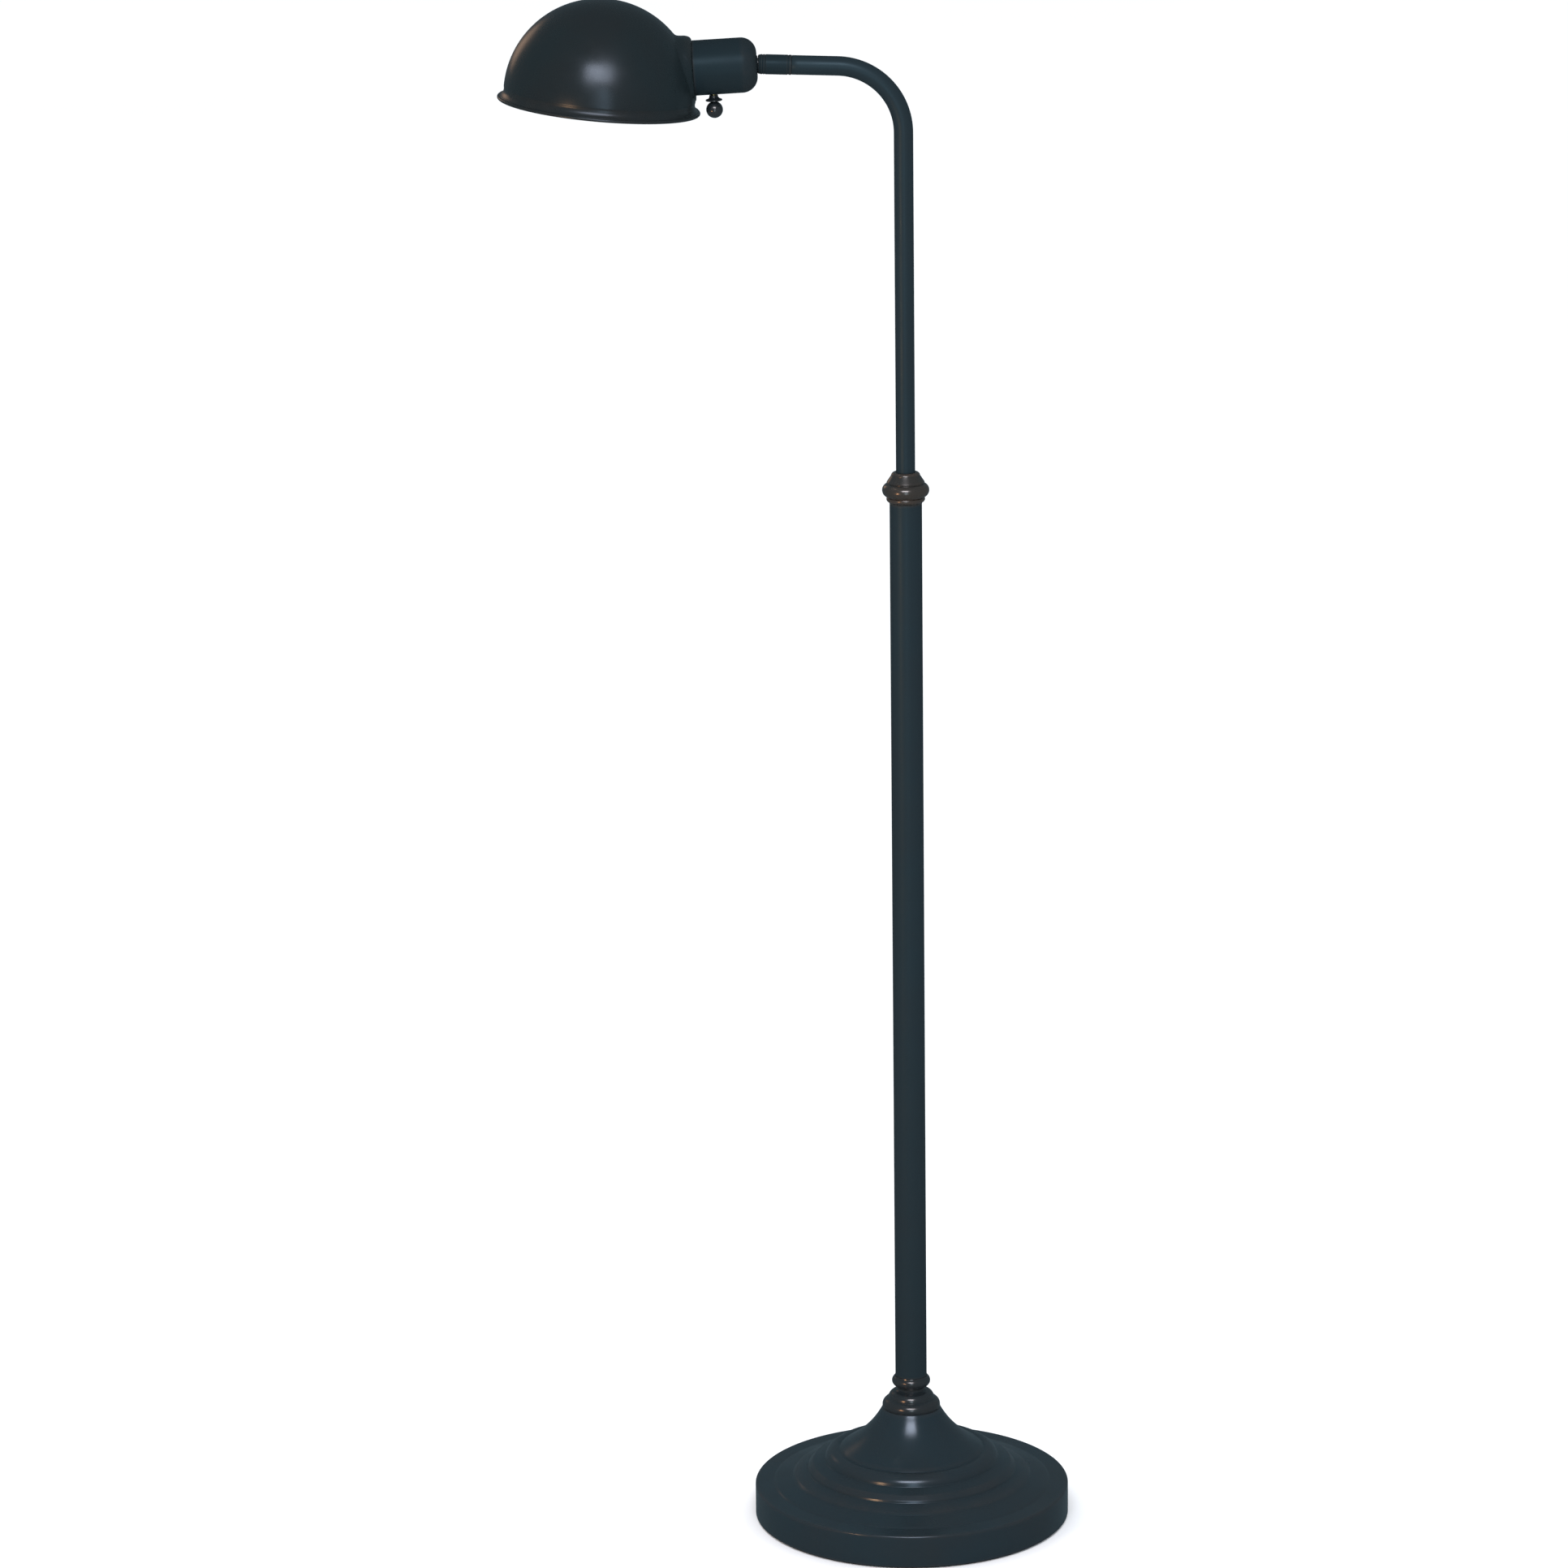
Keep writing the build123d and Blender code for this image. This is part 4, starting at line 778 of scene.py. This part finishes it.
def make_felt():
    """The felt pad, with a soft cut edge."""
    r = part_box("base_felt")[1].x / MM
    thick, rings = 1.5, 40
    underside = [(0.0, r * k / rings) for k in range(1, rings)]
    pad = [(0.0, 0.0), *underside, (0.0, r), (thick, r), (thick, 0.0)]
    role = ("base", "felt", "base_felt")
    turn_piece("felt_pad", pad, POLE, "felt", role, around=192, edge=0.5)


def make_rear_grommet():
    """The rubber ring in the base's rear wall, for a cord."""
    ring = trace(
        (-3.6, 3.2), (0.6, 3.2), ("arc", (1.3, 3.6), (1.6, 4.4)), (1.6, 6.0),
        ("arc", (1.2, 7.1), (0.05, 7.5)), (0.05, 4.95), (-3.6, 4.95),
    )
    role = ("base", "black_rubber", "cord_grommet")
    turn_piece("cord_hole_grommet", ring, GROMMET, "black_rubber", role, around=64, edge=0.2)


make_base()
make_neck()
make_lower_pole()
make_collar()
make_upper_pole()
make_barrel()
make_cup()
make_knob()
make_shade()
make_bulb()
make_felt()
make_rear_grommet()


# ================================================================ floor, light and camera
SURROUNDINGS = (0.96, 0.98, 1.0, 1.0), 1.2  # colour and strength of the studio
MIRRORED = (0.6, 0.85, 1.0, 1.0), 0.15  # the same, as the glossy surfaces mirror it
POLE_MIDDLE, COLLAR, HEAD = (0.0, 0.0, 0.9), (0.0, 0.0, 0.85), (-0.25, 0.0, 1.25)
# name, place, aim, size, watts, colour, spread in degrees
LIGHTS = (
    ("front_softbox", (-0.15, -2.6, 2.95), POLE_MIDDLE, (1.6, 1.0), 58, (0.85, 0.88, 1.0), 180),
    ("front_strip", (0.05, -2.6, 1.1), POLE_MIDDLE, (0.5, 1.6), 8, (0.64, 0.83, 1.0), 180),
    ("warm_left", (-1.5, -1.7, 0.65), COLLAR, (0.3, 0.5), 9, (1.0, 0.55, 0.28), 180),
    ("warm_back_left", (-1.7, 2.4, 1.8), HEAD, (0.9, 1.0), 0.2, (1.0, 0.62, 0.4), 42),
)
CAMERA_PLACE = (-0.0976, -4.9, 1.9)
CAMERA_DOWN, CAMERA_ROLL = 14.708, -0.639  # degrees
LENS, SENSOR, CLIP_END = 147.13, 36.0, 200.0  # mm, mm and m


def make_floor():
    """A pale floor, which the lamp's glossy surfaces don't mirror."""
    n = Nodes("pale_floor")
    drift = n.ramp(n.noise(scale=0.6, detail=3.0), low=0.3, high=0.7)
    n.set(Base_Color=n.mix(drift, (0.88, 0.88, 0.88), (0.9, 0.9, 0.9)))
    n.set(Roughness=0.9, Specular_IOR_Level=0.1)
    size = 40.0
    verts = [(-size, -size, 0), (size, -size, 0), (size, size, 0), (-size, size, 0)]
    floor = add_mesh("studio_floor", verts, [(0, 1, 2, 3)], None, [n.material])
    floor.visible_glossy = False


def make_light(name, place, aim, size, power, colour, spread_angle):
    """A soft rectangular light, which the camera doesn't see."""
    data = bpy.data.lights.new(name, "AREA")
    data.shape = "RECTANGLE"
    data.size, data.size_y = size
    data.energy = power
    data.color = colour
    data.spread = math.radians(spread_angle)
    light = bpy.data.objects.new(name, data)
    light.location = place
    light.rotation_mode = "QUATERNION"
    light.rotation_quaternion = (Vector(aim) - Vector(place)).to_track_quat("-Z", "Y")
    light.visible_camera = False
    SCENE.collection.objects.link(light)


def make_world():
    """A bright, even studio, with darker surroundings for what the glossy surfaces mirror."""
    world = bpy.data.worlds.new("studio")
    world.use_nodes = True
    tree = world.node_tree
    bright, dim = tree.nodes["Background"], tree.nodes.new("ShaderNodeBackground")
    for background, (colour, strength) in ((bright, SURROUNDINGS), (dim, MIRRORED)):
        background.inputs["Color"].default_value = colour
        background.inputs["Strength"].default_value = strength
    rays = tree.nodes.new("ShaderNodeLightPath")
    mix = tree.nodes.new("ShaderNodeMixShader")
    tree.links.new(rays.outputs["Is Glossy Ray"], mix.inputs["Fac"])
    tree.links.new(bright.outputs["Background"], mix.inputs[1])
    tree.links.new(dim.outputs["Background"], mix.inputs[2])
    tree.links.new(mix.outputs["Shader"], tree.nodes["World Output"].inputs["Surface"])
    SCENE.world = world


def make_camera():
    """The photograph's view: from in front, looking down a little and slightly rolled."""
    data = bpy.data.cameras.new("camera")
    data.sensor_width = SENSOR
    data.lens = LENS
    data.clip_end = CLIP_END
    camera = bpy.data.objects.new("camera", data)
    pitch = Matrix.Rotation(math.radians(90 - CAMERA_DOWN), 4, "X")
    roll = Matrix.Rotation(math.radians(CAMERA_ROLL), 4, "Z")
    camera.matrix_world = Matrix.Translation(CAMERA_PLACE) @ pitch @ roll
    SCENE.collection.objects.link(camera)
    SCENE.camera = camera


make_floor()
make_world()
for light_values in LIGHTS:
    make_light(*light_values)
make_camera()
